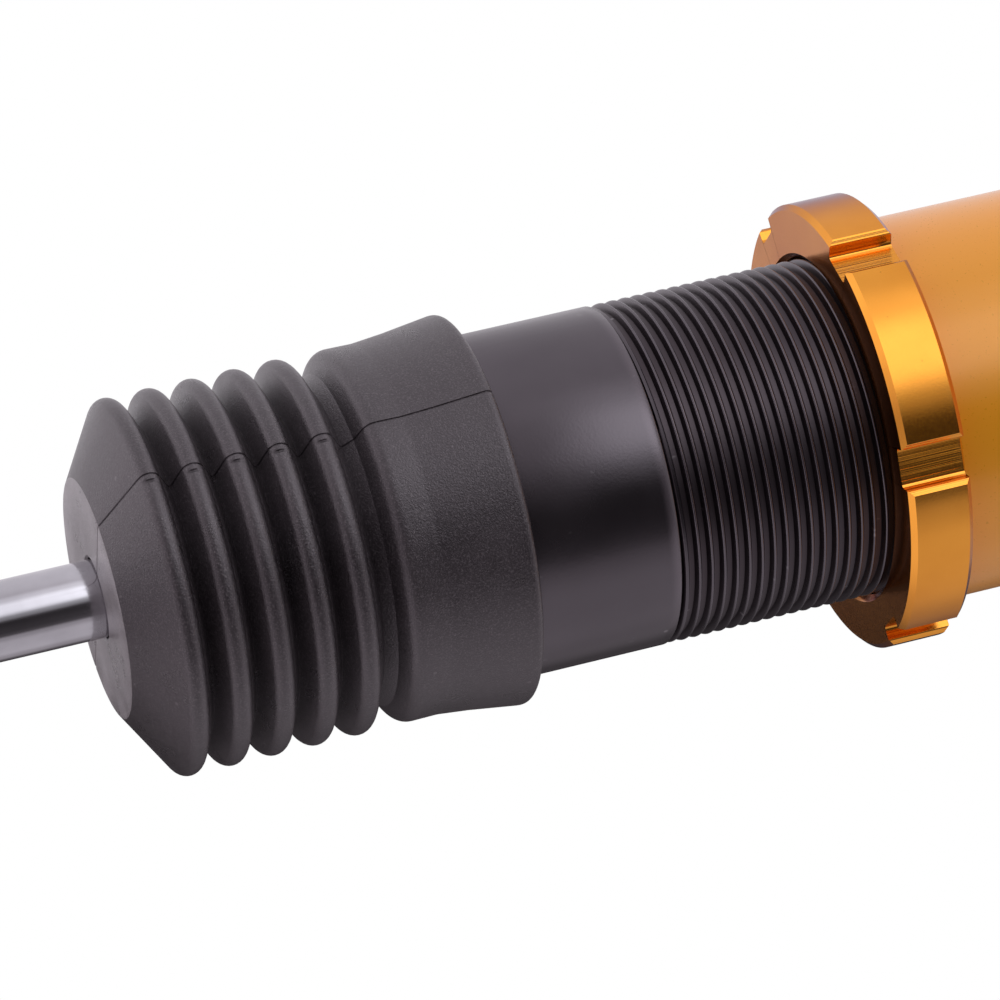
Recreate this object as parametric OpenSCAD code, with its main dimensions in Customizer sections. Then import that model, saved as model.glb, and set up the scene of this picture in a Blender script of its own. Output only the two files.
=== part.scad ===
// Height-adjustable twin-tube damper with a screwed lower housing, standing with its rod up.
// Origin: centre of the lower eye's bore. +Z runs up the damper's axis, +Y along the lower bolt.
// All sizes are in millimetres. Threads that mate are ridges on the male part and a plain
// clearance bore in the female part, so that the pieces turn and slide freely.

/* [Lower mount] */
// Diameter of the bolt that goes through the lower bush
bolt_d = 12; // [10:0.5:16]
// Wall of the bush's inner steel sleeve
bush_sleeve_wall = 2.9; // [2:0.1:4]
// Length of the bush's inner steel sleeve
bush_sleeve_l = 44; // [40:1:56]
// Radial thickness of the bush's rubber
bush_rubber_t = 6.5; // [4:0.5:9]
// Wall of the bush's outer steel shell
bush_shell_wall = 1.5; // [1:0.25:3]
// Wall of the eye ring
eye_wall = 4; // [3:0.25:7]
// Width of the eye ring along the bolt
eye_w = 34; // [26:1:38]
// Height of the plug between the eye ring and the sleeve
plug_neck_h = 4; // [3:0.5:10]
// Diameter of the plug's neck over the eye
plug_neck_d = 36; // [30:1:42]
// Length of the plug inside the sleeve
plug_spigot_l = 8; // [5:1:15]

/* [Outer sleeve] */
// Wall of the sleeve at its threaded top, outside the thread's crests
sleeve_thread_wall = 3.5; // [2.5:0.25:6]
// Wall of the sleeve below its thread
sleeve_wall = 3; // [2:0.1:3.3]
// Length of the sleeve's thread
sleeve_thread_l = 40; // [25:1:60]
// Chamfer on the sleeve's edges
sleeve_chamfer = 0.8; // [0.3:0.1:1.5]

/* [Body thread] */
// Major diameter of the thread, and outside diameter of the body tube
thread_d = 53; // [42:0.5:66]
// Pitch of the thread
thread_pitch = 2; // [1.5:0.25:3]
// Number of turns cut on the body tube
thread_turns = 55; // [45:1:70]
// Length of thread that shows between the lock ring and the plain tube
thread_shown_l = 33; // [20:1:45]
// How far the body can be screwed further in from here
adjust_down = 30; // [10:1:40]

/* [Lock ring] */
// Radial width of the lock ring outside the thread's crests
ring_band = 8.5; // [6:0.5:12]
// Height of the lock ring
ring_h = 10; // [6:0.5:14]
// Number of spanner notches
ring_notches = 6; // [4:1:8]
// Width of a notch between its walls
ring_notch_w = 6.4; // [4:0.2:8]
// Depth of a notch
ring_notch_depth = 3; // [2:0.25:5]
// Chamfer on the ring's edges and on the notches' lips
ring_chamfer = 0.8; // [0.3:0.1:1.5]

/* [Body tube] */
// Wall of the body tube under the thread's crests
tube_wall = 3.2; // [2.6:0.1:5]
// Length of plain tube above the thread
tube_land_l = 41; // [30:1:60]
// Gap between the body tube and the plug when the body is screwed right in
tube_floor_gap = 7; // [3:1:20]
// Thickness of the tube's pressed-in base
tube_base_t = 6; // [4:0.5:10]

/* [Pressure tube] */
// Bore of the pressure tube, in which the piston runs
bore_d = 30; // [26:0.5:36]
// Wall of the pressure tube
pressure_wall = 1.5; // [1:0.1:2.5]
// Height of the foot valve's flange, and of its spigot in the pressure tube
foot_h = 8; // [6:0.5:12]
// Height of the rivet head over the foot valve's discs
foot_head_h = 3.8; // [2:0.2:6]
// Oil left between the foot valve and the piston nut at full travel
piston_reserve = 5; // [3:1:15]

/* [Rod and piston] */
// Diameter of the chromed rod
rod_d = 12; // [11:0.2:16]
// Travel of the rod
stroke = 110; // [80:1:150]
// Diameter of the rod's lower spigot, which carries the piston
spigot_d = 8; // [6:0.5:10]
// Length of spigot that stands out of the piston nut
spigot_tip = 4; // [2:0.5:8]
// Height of the piston
piston_h = 12; // [8:0.5:20]
// Height of the piston's slide band
band_h = 8; // [4:0.5:8]
// Thickness of one valve disc
disc_t = 0.4; // [0.2:0.05:0.6]
// Number of valve discs in a stack
discs = 3; // [2:1:5]
// Width across the flats of the piston nut
piston_nut_af = 13; // [12:0.5:16]
// Height of the piston nut
piston_nut_h = 6.8; // [5:0.2:9]
// Thickness of the washer that backs the upper discs
backing_t = 2; // [1:0.25:4]
// Height of the rebound stop above the rod's shoulder
rebound_stop_rise = 3.8; // [2:0.2:20]
// Height of the rebound stop's steel collar
rebound_stop_h = 4; // [3:0.5:8]
// Height of the rebound bumper
rebound_bumper_h = 6.7; // [4:0.1:12]

/* [Rod guide and seal] */
// Length of the guide's spigot in the pressure tube
guide_spigot_l = 10; // [6:0.5:16]
// Height of the guide's flange
guide_flange_h = 14; // [12:0.5:24]
// Wall of the guide's slide bush
guide_bush_wall = 1.5; // [1:0.1:2.5]
// Length of the guide's slide bush
guide_bush_l = 16; // [10:0.5:20]
// Thickness of the rod seal's disc
seal_t = 4; // [3:0.25:7]
// Height of the seal's upper lip
seal_lip_h = 3; // [2:0.25:5]
// Height of the gland nut
gland_h = 6; // [5:0.5:10]
// How far the tube's rim stands above the gland nut
tube_rim = 1; // [0.5:0.25:3]

/* [Dust boot] */
// Number of fins
boot_fins = 5; // [3:1:7]
// Distance from one fin to the next
boot_fin_pitch = 6.6; // [5.5:0.1:9]
// How far the fins stand out from the body tube
boot_fin_proud = 2.5; // [1.5:0.1:6]
// How far the grooves between the fins lie inside the body tube's surface
boot_groove_sink = 2; // [0.5:0.1:4]
// Radius of a fin's crest
boot_fin_round = 1.7; // [1:0.1:2.2]
// Diameter of the flat nose
boot_nose_d = 37; // [30:0.5:42]
// Distance from the nose to the first fin's crest
boot_nose_l = 7.6; // [6:0.1:14]
// Thickness of the solid rubber nose
boot_nose_t = 9; // [6:0.5:12]
// Thickness of the rubber between groove and hollow
boot_wall = 2.8; // [2:0.1:4]
// Distance from the last fin's crest to the collar's shoulder
boot_shoulder_l = 7; // [5:0.5:12]
// Length of the collar
boot_collar_l = 19.5; // [12:0.5:30]
// How far the collar stands out from the tube at its waist
boot_waist_proud = 2.35; // [1.5:0.05:6]
// How far the collar stands out from the tube at its flared end
boot_flare_proud = 3.9; // [2:0.1:8]
// Length of the collar that goes over the tube
boot_grip_l = 17.5; // [10:0.5:28]

/* [Top mount] */
// Diameter of the rod's threaded stem
stem_d = 10; // [8:0.5:10]
// Thickness of the bump washer and of the top washer
washer_t = 3; // [2:0.25:5]
// Diameter of the bump washer
bump_washer_d = 44; // [40:1:60]
// Diameter of the top washer
top_washer_d = 32; // [28:1:36]
// Length of the steel spacer through the top mount
spacer_l = 30; // [26:1:45]
// Wall of the spacer
spacer_wall = 2.95; // [1.5:0.05:4]
// Radial thickness of the top rubber
top_rubber_t = 12; // [10:0.5:16]
// Wall of the plate's cup
cup_wall = 2.5; // [2:0.25:4]
// Height of the plate's cup
cup_h = 20; // [14:1:24]
// Thickness of the plate's flange
flange_t = 4; // [3:0.5:8]
// Distance between the two studs
stud_spacing = 74; // [66:1:100]
// Diameter of the studs
stud_d = 8; // [6:1:10]
// Length of the studs above the flange
stud_l = 24; // [15:1:40]
// Width across the flats of the stem nut
stem_nut_af = 17; // [16:0.5:19]
// Height of the stem nut's hexagon
stem_nut_h = 8; // [6:0.5:12]
// Height of the stem nut's round collar, which holds the nylon ring
stem_nut_collar_h = 3; // [2:0.25:5]
// Length of stem that stands out of its nut
stem_tip = 4; // [2:0.5:10]

/* [Clearances] */
// Radial clearance where one piece turns or slides on another
running = 0.05; // [0.02:0.01:0.09]
// Gap between pieces that pass close without touching
passing = 0.3; // [0.3:0.05:0.6]
// Gap that keeps two seated faces from sharing a plane
seat = 0.05; // [0.02:0.01:0.1]

/* [Hidden] */
$fn = 96;
eps = 0.01;

// Lower bush and eye, round the Y axis
bolt_clearance = 0.1;
bush_bore_r = bolt_d / 2 + bolt_clearance;
bush_sleeve_r = bush_bore_r + bush_sleeve_wall;
bush_rubber_r = bush_sleeve_r + bush_rubber_t;
eye_bore_r = bush_rubber_r + bush_shell_wall;
eye_r = eye_bore_r + eye_wall;
bush_lip = 2;
eye_chamfer = 1;

// Outer sleeve and plug
thread_r = thread_d / 2;
thread_bore_r = thread_r + running;
sleeve_r = thread_r + sleeve_thread_wall;
sleeve_bore_r = sleeve_r - sleeve_wall;
sleeve_bottom = eye_r + plug_neck_h;
plug_top = sleeve_bottom + plug_spigot_l;
plug_flange_h = 3;
plug_flange_r = sleeve_r - 1;

// Twin-tube stack, from the body tube's bottom to its rim
tube_bottom = plug_top + adjust_down + tube_floor_gap;
foot_z = tube_bottom + tube_base_t;
pressure_bottom = foot_z + foot_h;
foot_discs_z = pressure_bottom + foot_h;
disc_stack_h = discs * disc_t;
foot_head_z = foot_discs_z + disc_stack_h;
spigot_bottom = foot_head_z + foot_head_h + piston_reserve + stroke;
piston_nut_z = spigot_bottom + spigot_tip;
rebound_discs_z = piston_nut_z + piston_nut_h;
piston_z = rebound_discs_z + disc_stack_h;
compression_discs_z = piston_z + piston_h;
backing_z = compression_discs_z + disc_stack_h;
rod_shoulder_z = backing_z + backing_t;
rebound_stop_z = rod_shoulder_z + rebound_stop_rise;
rebound_bumper_z = rebound_stop_z + rebound_stop_h;
guide_z = rebound_bumper_z + rebound_bumper_h + passing;
pressure_top = guide_z + guide_spigot_l;
seal_z = pressure_top + guide_flange_h;
gland_z = seal_z + seal_t;
tube_top = gland_z + gland_h + tube_rim;

// Body tube, thread, lock ring and sleeve, from the rim downwards
tube_bore_r = thread_r - tube_wall;
thread_top = tube_top - tube_land_l;
thread_bottom = thread_top - thread_turns * thread_pitch;
thread_depth = 0.6134 * thread_pitch;
thread_root_r = thread_r - thread_depth;
tube_tail_r = thread_root_r - 0.1;
ring_top = thread_top - thread_shown_l;
ring_r = thread_r + ring_band;
// One notch lies this far round from the +X axis
ring_notch_phase = 15;
ring_notch_fillet = 0.6;
sleeve_top = ring_top - ring_h - seat;

// Dust boot, from its collar's end up to its nose
boot_l = boot_nose_l + (boot_fins - 1) * boot_fin_pitch + boot_shoulder_l + boot_collar_l;
boot_end_z = tube_top - boot_grip_l;
boot_nose_z = boot_end_z + boot_l;
boot_fin_r = thread_r + boot_fin_proud;
boot_groove_r = thread_r - boot_groove_sink;
boot_hollow_r = boot_groove_r - boot_wall;
boot_hole_r = rod_d / 2 + passing;
boot_edge = 1;

// Rod and top mount, from the boot's nose upwards
rod_r = rod_d / 2;
rod_slide_r = rod_r + running;
bump_gap = 0.5;
bump_z = boot_nose_z + bump_gap + stroke;
spacer_z = bump_z + washer_t;
top_washer_z = spacer_z + spacer_l;
stem_nut_z = top_washer_z + washer_t;
nut_collar_z = stem_nut_z + stem_nut_h;
stem_top = nut_collar_z + stem_nut_collar_h + stem_tip;
stem_r = stem_d / 2;
spacer_r = stem_r + running + spacer_wall;
cup_bore_r = spacer_r + top_rubber_t;
cup_r = cup_bore_r + cup_wall;
mount_mid_z = spacer_z + spacer_l / 2;
stud_head_r = 7;
stud_head_h = 2.5;
// The studs' splined neck is pressed into the flange, and is wider than the thread above it
stud_neck_r = stud_d / 2 + 0.3;

// Points of an arc round [x, y] from angle a to angle b, in steps
function arc(x, y, r, a, b, steps) =
    [for (i = [0:steps]) let (t = a + (b - a) * i / steps) [x + r * cos(t), y + r * sin(t)]];

// A point of the boot's section at radius r, a distance s below the nose
function boot_point(r, s) = [r, boot_nose_z - s];

// A ring with a bore, from z to z + h
module ring(outer_r, inner_r, z, h) {
    translate([0, 0, z]) difference() {
        cylinder(r = outer_r, h = h);
        translate([0, 0, -1]) cylinder(r = inner_r, h = h + 2);
    }
}

// A ring whose outer edges are chamfered
module chamfered_ring(outer_r, inner_r, z, h, c) {
    rotate_extrude() polygon([
        [inner_r, z], [outer_r - c, z], [outer_r, z + c],
        [outer_r, z + h - c], [outer_r - c, z + h], [inner_r, z + h],
    ]);
}

// A hexagonal nut with a plain hole of the bolt's own radius
module hex_nut(across_flats, hole_r, z, h) {
    translate([0, 0, z]) difference() {
        cylinder(r = across_flats / sqrt(3), h = h, $fn = 6);
        translate([0, 0, -1]) cylinder(r = hole_r, h = h + 2);
    }
}

// Turns a piece that is centred round Z so that it lies round Y
module along_bolt() {
    rotate([90, 0, 0]) children();
}

// ---- Lower mount ----

module bush_sleeve() {
    color("silver") along_bolt()
        chamfered_ring(bush_sleeve_r, bush_bore_r, -bush_sleeve_l / 2, bush_sleeve_l, 0.5);
}

module bush_rubber() {
    inner_r = bush_sleeve_r + running;
    lip_r = (inner_r + bush_rubber_r) / 2;
    half = eye_w / 2;
    color([0.12, 0.12, 0.12]) along_bolt() rotate_extrude() polygon([
        [inner_r, -half - bush_lip], [lip_r, -half - bush_lip], [bush_rubber_r, -half],
        [bush_rubber_r, half], [lip_r, half + bush_lip], [inner_r, half + bush_lip],
    ]);
}

module bush_shell() {
    color("dimgray") along_bolt() ring(eye_bore_r, bush_rubber_r, -eye_w / 2, eye_w);
}

module eye_ring() {
    color([0.85, 0.55, 0.18]) along_bolt()
        chamfered_ring(eye_r, eye_bore_r, -eye_w / 2, eye_w, eye_chamfer);
}

module base_plug() {
    flange_z = sleeve_bottom - plug_flange_h;
    neck_r = plug_neck_d / 2;
    color([0.82, 0.52, 0.17]) difference() {
        rotate_extrude() polygon([
            [0, 0], [neck_r, 0], [neck_r, flange_z - 2], [plug_flange_r, flange_z],
            [plug_flange_r, sleeve_bottom], [sleeve_bore_r, sleeve_bottom],
            [sleeve_bore_r, plug_top - 1], [sleeve_bore_r - 1, plug_top], [0, plug_top],
        ]);
        along_bolt() cylinder(r = eye_r, h = plug_neck_d + 20, center = true);
    }
}

module outer_sleeve() {
    c = sleeve_chamfer;
    female_z = sleeve_top - sleeve_thread_l;
    color([0.89, 0.6, 0.23]) rotate_extrude() polygon([
        [sleeve_bore_r, sleeve_bottom], [sleeve_r - c, sleeve_bottom],
        [sleeve_r, sleeve_bottom + c], [sleeve_r, sleeve_top - c], [sleeve_r - c, sleeve_top],
        [thread_bore_r + c, sleeve_top], [thread_bore_r, sleeve_top - c],
        [thread_bore_r, female_z], [sleeve_bore_r, female_z - 1],
    ]);
}

// ---- Lock ring ----

// Section of one notch, with X outwards, open at the ring's edge and flared at its lips
module notch_section() {
    half = ring_notch_w / 2;
    floor_r = ring_r - ring_notch_depth;
    f = ring_notch_fillet;
    polygon([
        [floor_r, -half + f], [floor_r + f, -half], [ring_r - ring_chamfer, -half],
        [ring_r + 1, -half - ring_chamfer - 1], [ring_r + 1, half + ring_chamfer + 1],
        [ring_r - ring_chamfer, half], [floor_r + f, half], [floor_r, half - f],
    ]);
}

module lock_ring() {
    c = ring_chamfer;
    z = ring_top - ring_h;
    color([0.9, 0.58, 0.15]) difference() {
        rotate_extrude() polygon([
            [thread_bore_r, z + c], [thread_bore_r + c, z], [ring_r - c, z], [ring_r, z + c],
            [ring_r, ring_top - c], [ring_r - c, ring_top], [thread_bore_r + c, ring_top],
            [thread_bore_r, ring_top - c],
        ]);
        for (i = [0:ring_notches - 1])
            rotate([0, 0, ring_notch_phase + i * 360 / ring_notches])
                translate([0, 0, z - 1]) linear_extrude(ring_h + 2) notch_section();
    }
}

// ---- Dust boot ----

// Half the angle that a fin's rounded crest spans, so that it runs straight on into its flanks
fin_centre_r = boot_fin_r - boot_fin_round;
fin_flank = [boot_groove_r - fin_centre_r, boot_fin_pitch / 2];
fin_half_angle = atan2(fin_flank[1], fin_flank[0]) - acos(boot_fin_round / norm(fin_flank));

// Outer outline of the fins, from the first crest down to the last groove
function fin_outline() = [
    for (i = [0:boot_fins - 1]) let (s = boot_nose_l + i * boot_fin_pitch)
        each concat(
            [for (p = arc(fin_centre_r, 0, boot_fin_round, -fin_half_angle, fin_half_angle, 6))
                boot_point(p[0], s + p[1])],
            [boot_point(boot_groove_r, s + boot_fin_pitch / 2)]
        )
];

// Inner outline of the hollow, from the last groove up to the nose
function hollow_outline() = [
    for (i = [boot_fins - 1:-1:1]) let (s = boot_nose_l + i * boot_fin_pitch)
        each [
            boot_point(boot_hollow_r, s + boot_fin_pitch / 2),
            boot_point(boot_fin_r - boot_wall - 0.4, s),
        ]
];

module dust_boot() {
    collar_s = boot_l - boot_collar_l;
    waist_s = collar_s + boot_collar_l / 4;
    waist_r = thread_r + boot_waist_proud;
    flare_r = thread_r + boot_flare_proud;
    grip_s = boot_l - boot_grip_l - seat;
    shoulder_r = waist_r - boot_edge;
    color([0.2, 0.19, 0.2]) rotate_extrude() polygon(concat(
        [boot_point(boot_hole_r, 0), boot_point(boot_nose_d / 2, 0)],
        fin_outline(),
        [for (p = arc(shoulder_r, 0, boot_edge, -60, 0, 3))
            boot_point(p[0], collar_s + boot_edge + p[1])],
        [boot_point(waist_r, waist_s)],
        [for (p = arc(flare_r - boot_edge, 0, boot_edge, 0, 90, 4))
            boot_point(p[0], boot_l - boot_edge + p[1])],
        [boot_point(thread_bore_r, boot_l), boot_point(thread_bore_r, grip_s),
            boot_point(boot_hollow_r, grip_s)],
        hollow_outline(),
        [boot_point(boot_hollow_r, boot_nose_l + boot_fin_pitch / 2),
            boot_point(boot_hollow_r, boot_nose_t), boot_point(boot_hole_r, boot_nose_t)]
    ));
}

// ---- Body tube and what it holds ----

// One thread ridge after another, from the bottom up, as the tube's outline
function ridge_outline() = [
    for (i = [0:thread_turns - 1]) let (z = thread_bottom + i * thread_pitch)
        each [
            [thread_root_r, z + 0.125 * thread_pitch], [thread_r, z + 0.4375 * thread_pitch],
            [thread_r, z + 0.5625 * thread_pitch], [thread_root_r, z + 0.875 * thread_pitch],
        ]
];

module damper_tube() {
    c = 1;
    color([0.17, 0.16, 0.17]) rotate_extrude() polygon(concat(
        [[tube_bore_r, tube_bottom], [tube_tail_r - c, tube_bottom],
            [tube_tail_r, tube_bottom + c], [tube_tail_r, thread_bottom]],
        ridge_outline(),
        [[thread_r, thread_top + 0.5], [thread_r, tube_top - c], [thread_r - c, tube_top],
            [tube_bore_r, tube_top]]
    ));
}

module tube_base() {
    wall = 3;
    rim_h = 4;
    color("gray") rotate_extrude() polygon([
        [0, tube_bottom], [tube_bore_r - 2, tube_bottom], [tube_bore_r, tube_bottom + 2],
        [tube_bore_r, foot_z + rim_h], [tube_bore_r - wall, foot_z + rim_h],
        [tube_bore_r - wall, foot_z], [0, foot_z],
    ]);
}

module pressure_tube() {
    color("lightsteelblue")
        ring(bore_d / 2 + pressure_wall, bore_d / 2, pressure_bottom,
            pressure_top - pressure_bottom);
}

foot_pin_r = 2.5;
foot_slots = 4;

module foot_valve_body() {
    flange_r = bore_d / 2 + pressure_wall;
    color("darkgray") difference() {
        union() {
            translate([0, 0, foot_z]) cylinder(r = flange_r, h = foot_h);
            translate([0, 0, pressure_bottom - eps]) cylinder(r = bore_d / 2, h = foot_h + eps);
        }
        translate([0, 0, foot_z - 1]) cylinder(r = foot_pin_r, h = 2 * foot_h + 2);
        for (i = [0:foot_slots - 1]) rotate([0, 0, i * 360 / foot_slots])
            translate([flange_r - 4, -2.5, foot_z - 1]) cube([6, 5, 4]);
    }
}

// A stack of thin discs round a pin, each smaller than the one below it
module disc_stack(widest_r, hole_r, z) {
    step = 1;
    for (i = [0:discs - 1]) ring(widest_r - i * step, hole_r, z + i * disc_t, disc_t);
}

module foot_valve_discs() {
    color("silver") disc_stack(bore_d / 2 - 3, foot_pin_r, foot_discs_z);
}

module foot_valve_pin() {
    head_r = 5;
    color("gainsboro") rotate_extrude() polygon([
        [0, foot_z + 1], [foot_pin_r, foot_z + 1], [foot_pin_r, foot_head_z],
        [head_r, foot_head_z], [head_r, foot_head_z + foot_head_h - 1],
        [head_r - 1.5, foot_head_z + foot_head_h], [0, foot_head_z + foot_head_h],
    ]);
}

guide_bush_r = rod_slide_r + guide_bush_wall;
guide_bush_z = guide_z + 2;
oring_r = 1.2;
oring_groove_h = 2.6;
oring_z = seal_z - 5;

module rod_guide() {
    groove_r = tube_bore_r - 2 * oring_r;
    bush_top = guide_bush_z + guide_bush_l;
    color("slategray") rotate_extrude() polygon([
        [rod_r + 0.5, guide_z], [bore_d / 2 - 1, guide_z], [bore_d / 2, guide_z + 1],
        [bore_d / 2, pressure_top], [tube_bore_r, pressure_top],
        [tube_bore_r, oring_z - oring_groove_h / 2], [groove_r, oring_z - oring_groove_h / 2],
        [groove_r, oring_z + oring_groove_h / 2], [tube_bore_r, oring_z + oring_groove_h / 2],
        [tube_bore_r, seal_z], [guide_bush_r + 1, seal_z], [guide_bush_r + 1, bush_top],
        [guide_bush_r, bush_top], [guide_bush_r, guide_bush_z], [rod_r + 0.5, guide_bush_z],
    ]);
}

module guide_bush() {
    color("darkgoldenrod") ring(guide_bush_r, rod_slide_r, guide_bush_z, guide_bush_l);
}

module guide_oring() {
    color("black") translate([0, 0, oring_z]) rotate_extrude()
        translate([tube_bore_r - oring_r, 0]) circle(r = oring_r, $fn = 32);
}

seal_lip_r = rod_slide_r + 2;
garter_r = 0.7;

module rod_seal() {
    color([0.35, 0.2, 0.15]) rotate_extrude() polygon([
        [rod_slide_r, seal_z], [tube_bore_r, seal_z], [tube_bore_r, gland_z],
        [seal_lip_r, gland_z], [seal_lip_r, gland_z + seal_lip_h],
        [rod_slide_r, gland_z + seal_lip_h],
    ]);
}

module seal_garter() {
    color("silver") translate([0, 0, gland_z + seal_lip_h / 2]) rotate_extrude()
        translate([seal_lip_r + garter_r, 0]) circle(r = garter_r, $fn = 24);
}

module gland_nut() {
    bore_r = seal_lip_r + 2 * garter_r + 1;
    slot_w = 5;
    color("gray") difference() {
        ring(tube_bore_r, bore_r, gland_z, gland_h);
        for (a = [0, 180]) rotate([0, 0, a])
            translate([tube_bore_r - 5, -slot_w / 2, gland_z + gland_h / 2])
                cube([10, slot_w, gland_h]);
    }
}

// ---- Rod, piston and top mount ----

module piston_rod() {
    c = 0.6;
    socket_af = 5;
    socket_depth = 6;
    color("gainsboro") difference() {
        rotate_extrude() polygon([
            [0, spigot_bottom], [spigot_d / 2 - c, spigot_bottom],
            [spigot_d / 2, spigot_bottom + c], [spigot_d / 2, rod_shoulder_z],
            [rod_r - c, rod_shoulder_z], [rod_r, rod_shoulder_z + c], [rod_r, bump_z - c],
            [rod_r - c, bump_z], [stem_r, bump_z], [stem_r, stem_top - c],
            [stem_r - c, stem_top], [0, stem_top],
        ]);
        translate([0, 0, stem_top - socket_depth])
            cylinder(r = socket_af / sqrt(3), h = socket_depth + 1, $fn = 6);
    }
}

module rebound_stop() {
    color("gray") ring(rod_r + 4, rod_r, rebound_stop_z, rebound_stop_h);
}

module rebound_bumper() {
    color("ivory") chamfered_ring(rod_r + 5, rod_r, rebound_bumper_z, rebound_bumper_h, 1);
}

module backing_washer() {
    color("silver") ring(spigot_d / 2 + 6, spigot_d / 2, backing_z, backing_t);
}

module compression_discs() {
    color("silver") disc_stack(bore_d / 2 - 2, spigot_d / 2, compression_discs_z);
}

band_t = 1.5;
piston_band_r = bore_d / 2 - running;

module piston() {
    body_r = bore_d / 2 - 0.4;
    groove_r = piston_band_r - band_t;
    band_z = piston_z + (piston_h - band_h) / 2;
    ports = 6;
    port_r = 1.5;
    port_circle_r = (spigot_d / 2 + groove_r) / 2;
    color("darkgray") difference() {
        rotate_extrude() polygon([
            [spigot_d / 2, piston_z], [body_r, piston_z], [body_r, band_z],
            [groove_r, band_z], [groove_r, band_z + band_h], [body_r, band_z + band_h],
            [body_r, piston_z + piston_h], [spigot_d / 2, piston_z + piston_h],
        ]);
        for (i = [0:ports - 1]) rotate([0, 0, i * 360 / ports])
            translate([port_circle_r, 0, piston_z - 1]) cylinder(r = port_r, h = piston_h + 2);
    }
}

module piston_band() {
    color("tan")
        ring(piston_band_r, piston_band_r - band_t, piston_z + (piston_h - band_h) / 2, band_h);
}

module rebound_discs() {
    color("silver") translate([0, 0, 2 * rebound_discs_z + disc_stack_h]) mirror([0, 0, 1])
        disc_stack(bore_d / 2 - 3, spigot_d / 2, rebound_discs_z);
}

module piston_nut() {
    color("silver") hex_nut(piston_nut_af, spigot_d / 2, piston_nut_z, piston_nut_h);
}

module bump_washer() {
    r = bump_washer_d / 2;
    dish = 1.5;
    color("dimgray") rotate_extrude() polygon([
        [stem_r + running, bump_z], [r - 2, bump_z], [r, bump_z + dish],
        [r, bump_z + washer_t + dish], [r - 1.5, bump_z + washer_t + dish],
        [r - 3, bump_z + washer_t], [stem_r + running, bump_z + washer_t],
    ]);
}

module top_spacer() {
    color("silver") ring(spacer_r, stem_r + running, spacer_z, spacer_l);
}

module top_washer() {
    color("silver")
        chamfered_ring(top_washer_d / 2, stem_r + running, top_washer_z, washer_t, 0.5);
}

nylon_t = 1.3;

module stem_nut() {
    color("silver") {
        hex_nut(stem_nut_af, stem_r, stem_nut_z, stem_nut_h);
        ring(stem_nut_af / 2 - 1, stem_r + nylon_t, nut_collar_z - eps, stem_nut_collar_h + eps);
    }
}

module nut_insert() {
    color("royalblue")
        ring(stem_r + nylon_t, stem_r, nut_collar_z, stem_nut_collar_h - 0.5);
}

module top_rubber() {
    lip_h = spacer_l / 2 - 1;
    lip_r = (spacer_r + cup_bore_r) / 2;
    inner_r = spacer_r + 2 * running;
    rim_h = cup_h / 2;
    color([0.12, 0.12, 0.12]) translate([0, 0, mount_mid_z]) rotate_extrude() polygon([
        [inner_r, -lip_h], [lip_r, -lip_h], [cup_bore_r, -rim_h],
        [cup_bore_r, rim_h], [lip_r, lip_h], [inner_r, lip_h],
    ]);
}

// Outline of the plate: two round ends for the studs, blended into the round cup
module plate_outline() {
    end_r = 13;
    mid_r = cup_r + 4;
    polygon(concat(
        arc(stud_spacing / 2, 0, end_r, -70, 70, 10), arc(0, 0, mid_r, 50, 130, 10),
        arc(-stud_spacing / 2, 0, end_r, 110, 250, 10), arc(0, 0, mid_r, 230, 310, 10)
    ));
}

module top_plate() {
    color([0.2, 0.2, 0.2]) translate([0, 0, mount_mid_z]) difference() {
        union() {
            translate([0, 0, -cup_h / 2]) cylinder(r = cup_r, h = cup_h);
            linear_extrude(flange_t) plate_outline();
        }
        translate([0, 0, -cup_h]) cylinder(r = cup_bore_r, h = 2 * cup_h);
        for (side = [-1, 1]) translate([side * stud_spacing / 2, 0, -1])
            cylinder(r = stud_neck_r, h = flange_t + 2);
    }
}

module top_studs() {
    c = 1;
    r = stud_d / 2;
    color("silver") for (side = [-1, 1])
        translate([side * stud_spacing / 2, 0, mount_mid_z]) rotate_extrude() polygon([
            [0, -stud_head_h], [stud_head_r, -stud_head_h], [stud_head_r, 0], [stud_neck_r, 0],
            [stud_neck_r, flange_t], [r, flange_t], [r, flange_t + stud_l - c],
            [r - c, flange_t + stud_l], [0, flange_t + stud_l],
        ]);
}

bush_sleeve();
bush_rubber();
bush_shell();
eye_ring();
base_plug();
outer_sleeve();
lock_ring();
dust_boot();
damper_tube();
tube_base();
pressure_tube();
foot_valve_body();
foot_valve_discs();
foot_valve_pin();
rod_guide();
guide_bush();
guide_oring();
rod_seal();
seal_garter();
gland_nut();
piston_rod();
rebound_stop();
rebound_bumper();
backing_washer();
compression_discs();
piston();
piston_band();
rebound_discs();
piston_nut();
bump_washer();
top_spacer();
top_washer();
stem_nut();
nut_insert();
top_rubber();
top_plate();
top_studs();
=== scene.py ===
# %% [markdown]
# # A height-adjustable damper, built around its CAD frame
# This lesson dresses a car damper whose parts, sizes and joints are already settled in CAD. The damper
# stands with its lower eye at the origin and its rod up +Z. What we add is what a maker would see and
# touch: a real helical thread, a moulded rubber boot with its parting line, turned and anodised aluminium,
# hard chrome, weld beads, and a studio that shows them.
#
# The frame could be remodelled by hand, but every size would then have to be kept in step with the CAD.
# Instead each new piece asks the frame where its CAD part is, and rides on that part's body.

# %% Load the frame
import math

import bmesh
import bpy
from mathutils import Matrix, Vector


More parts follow.
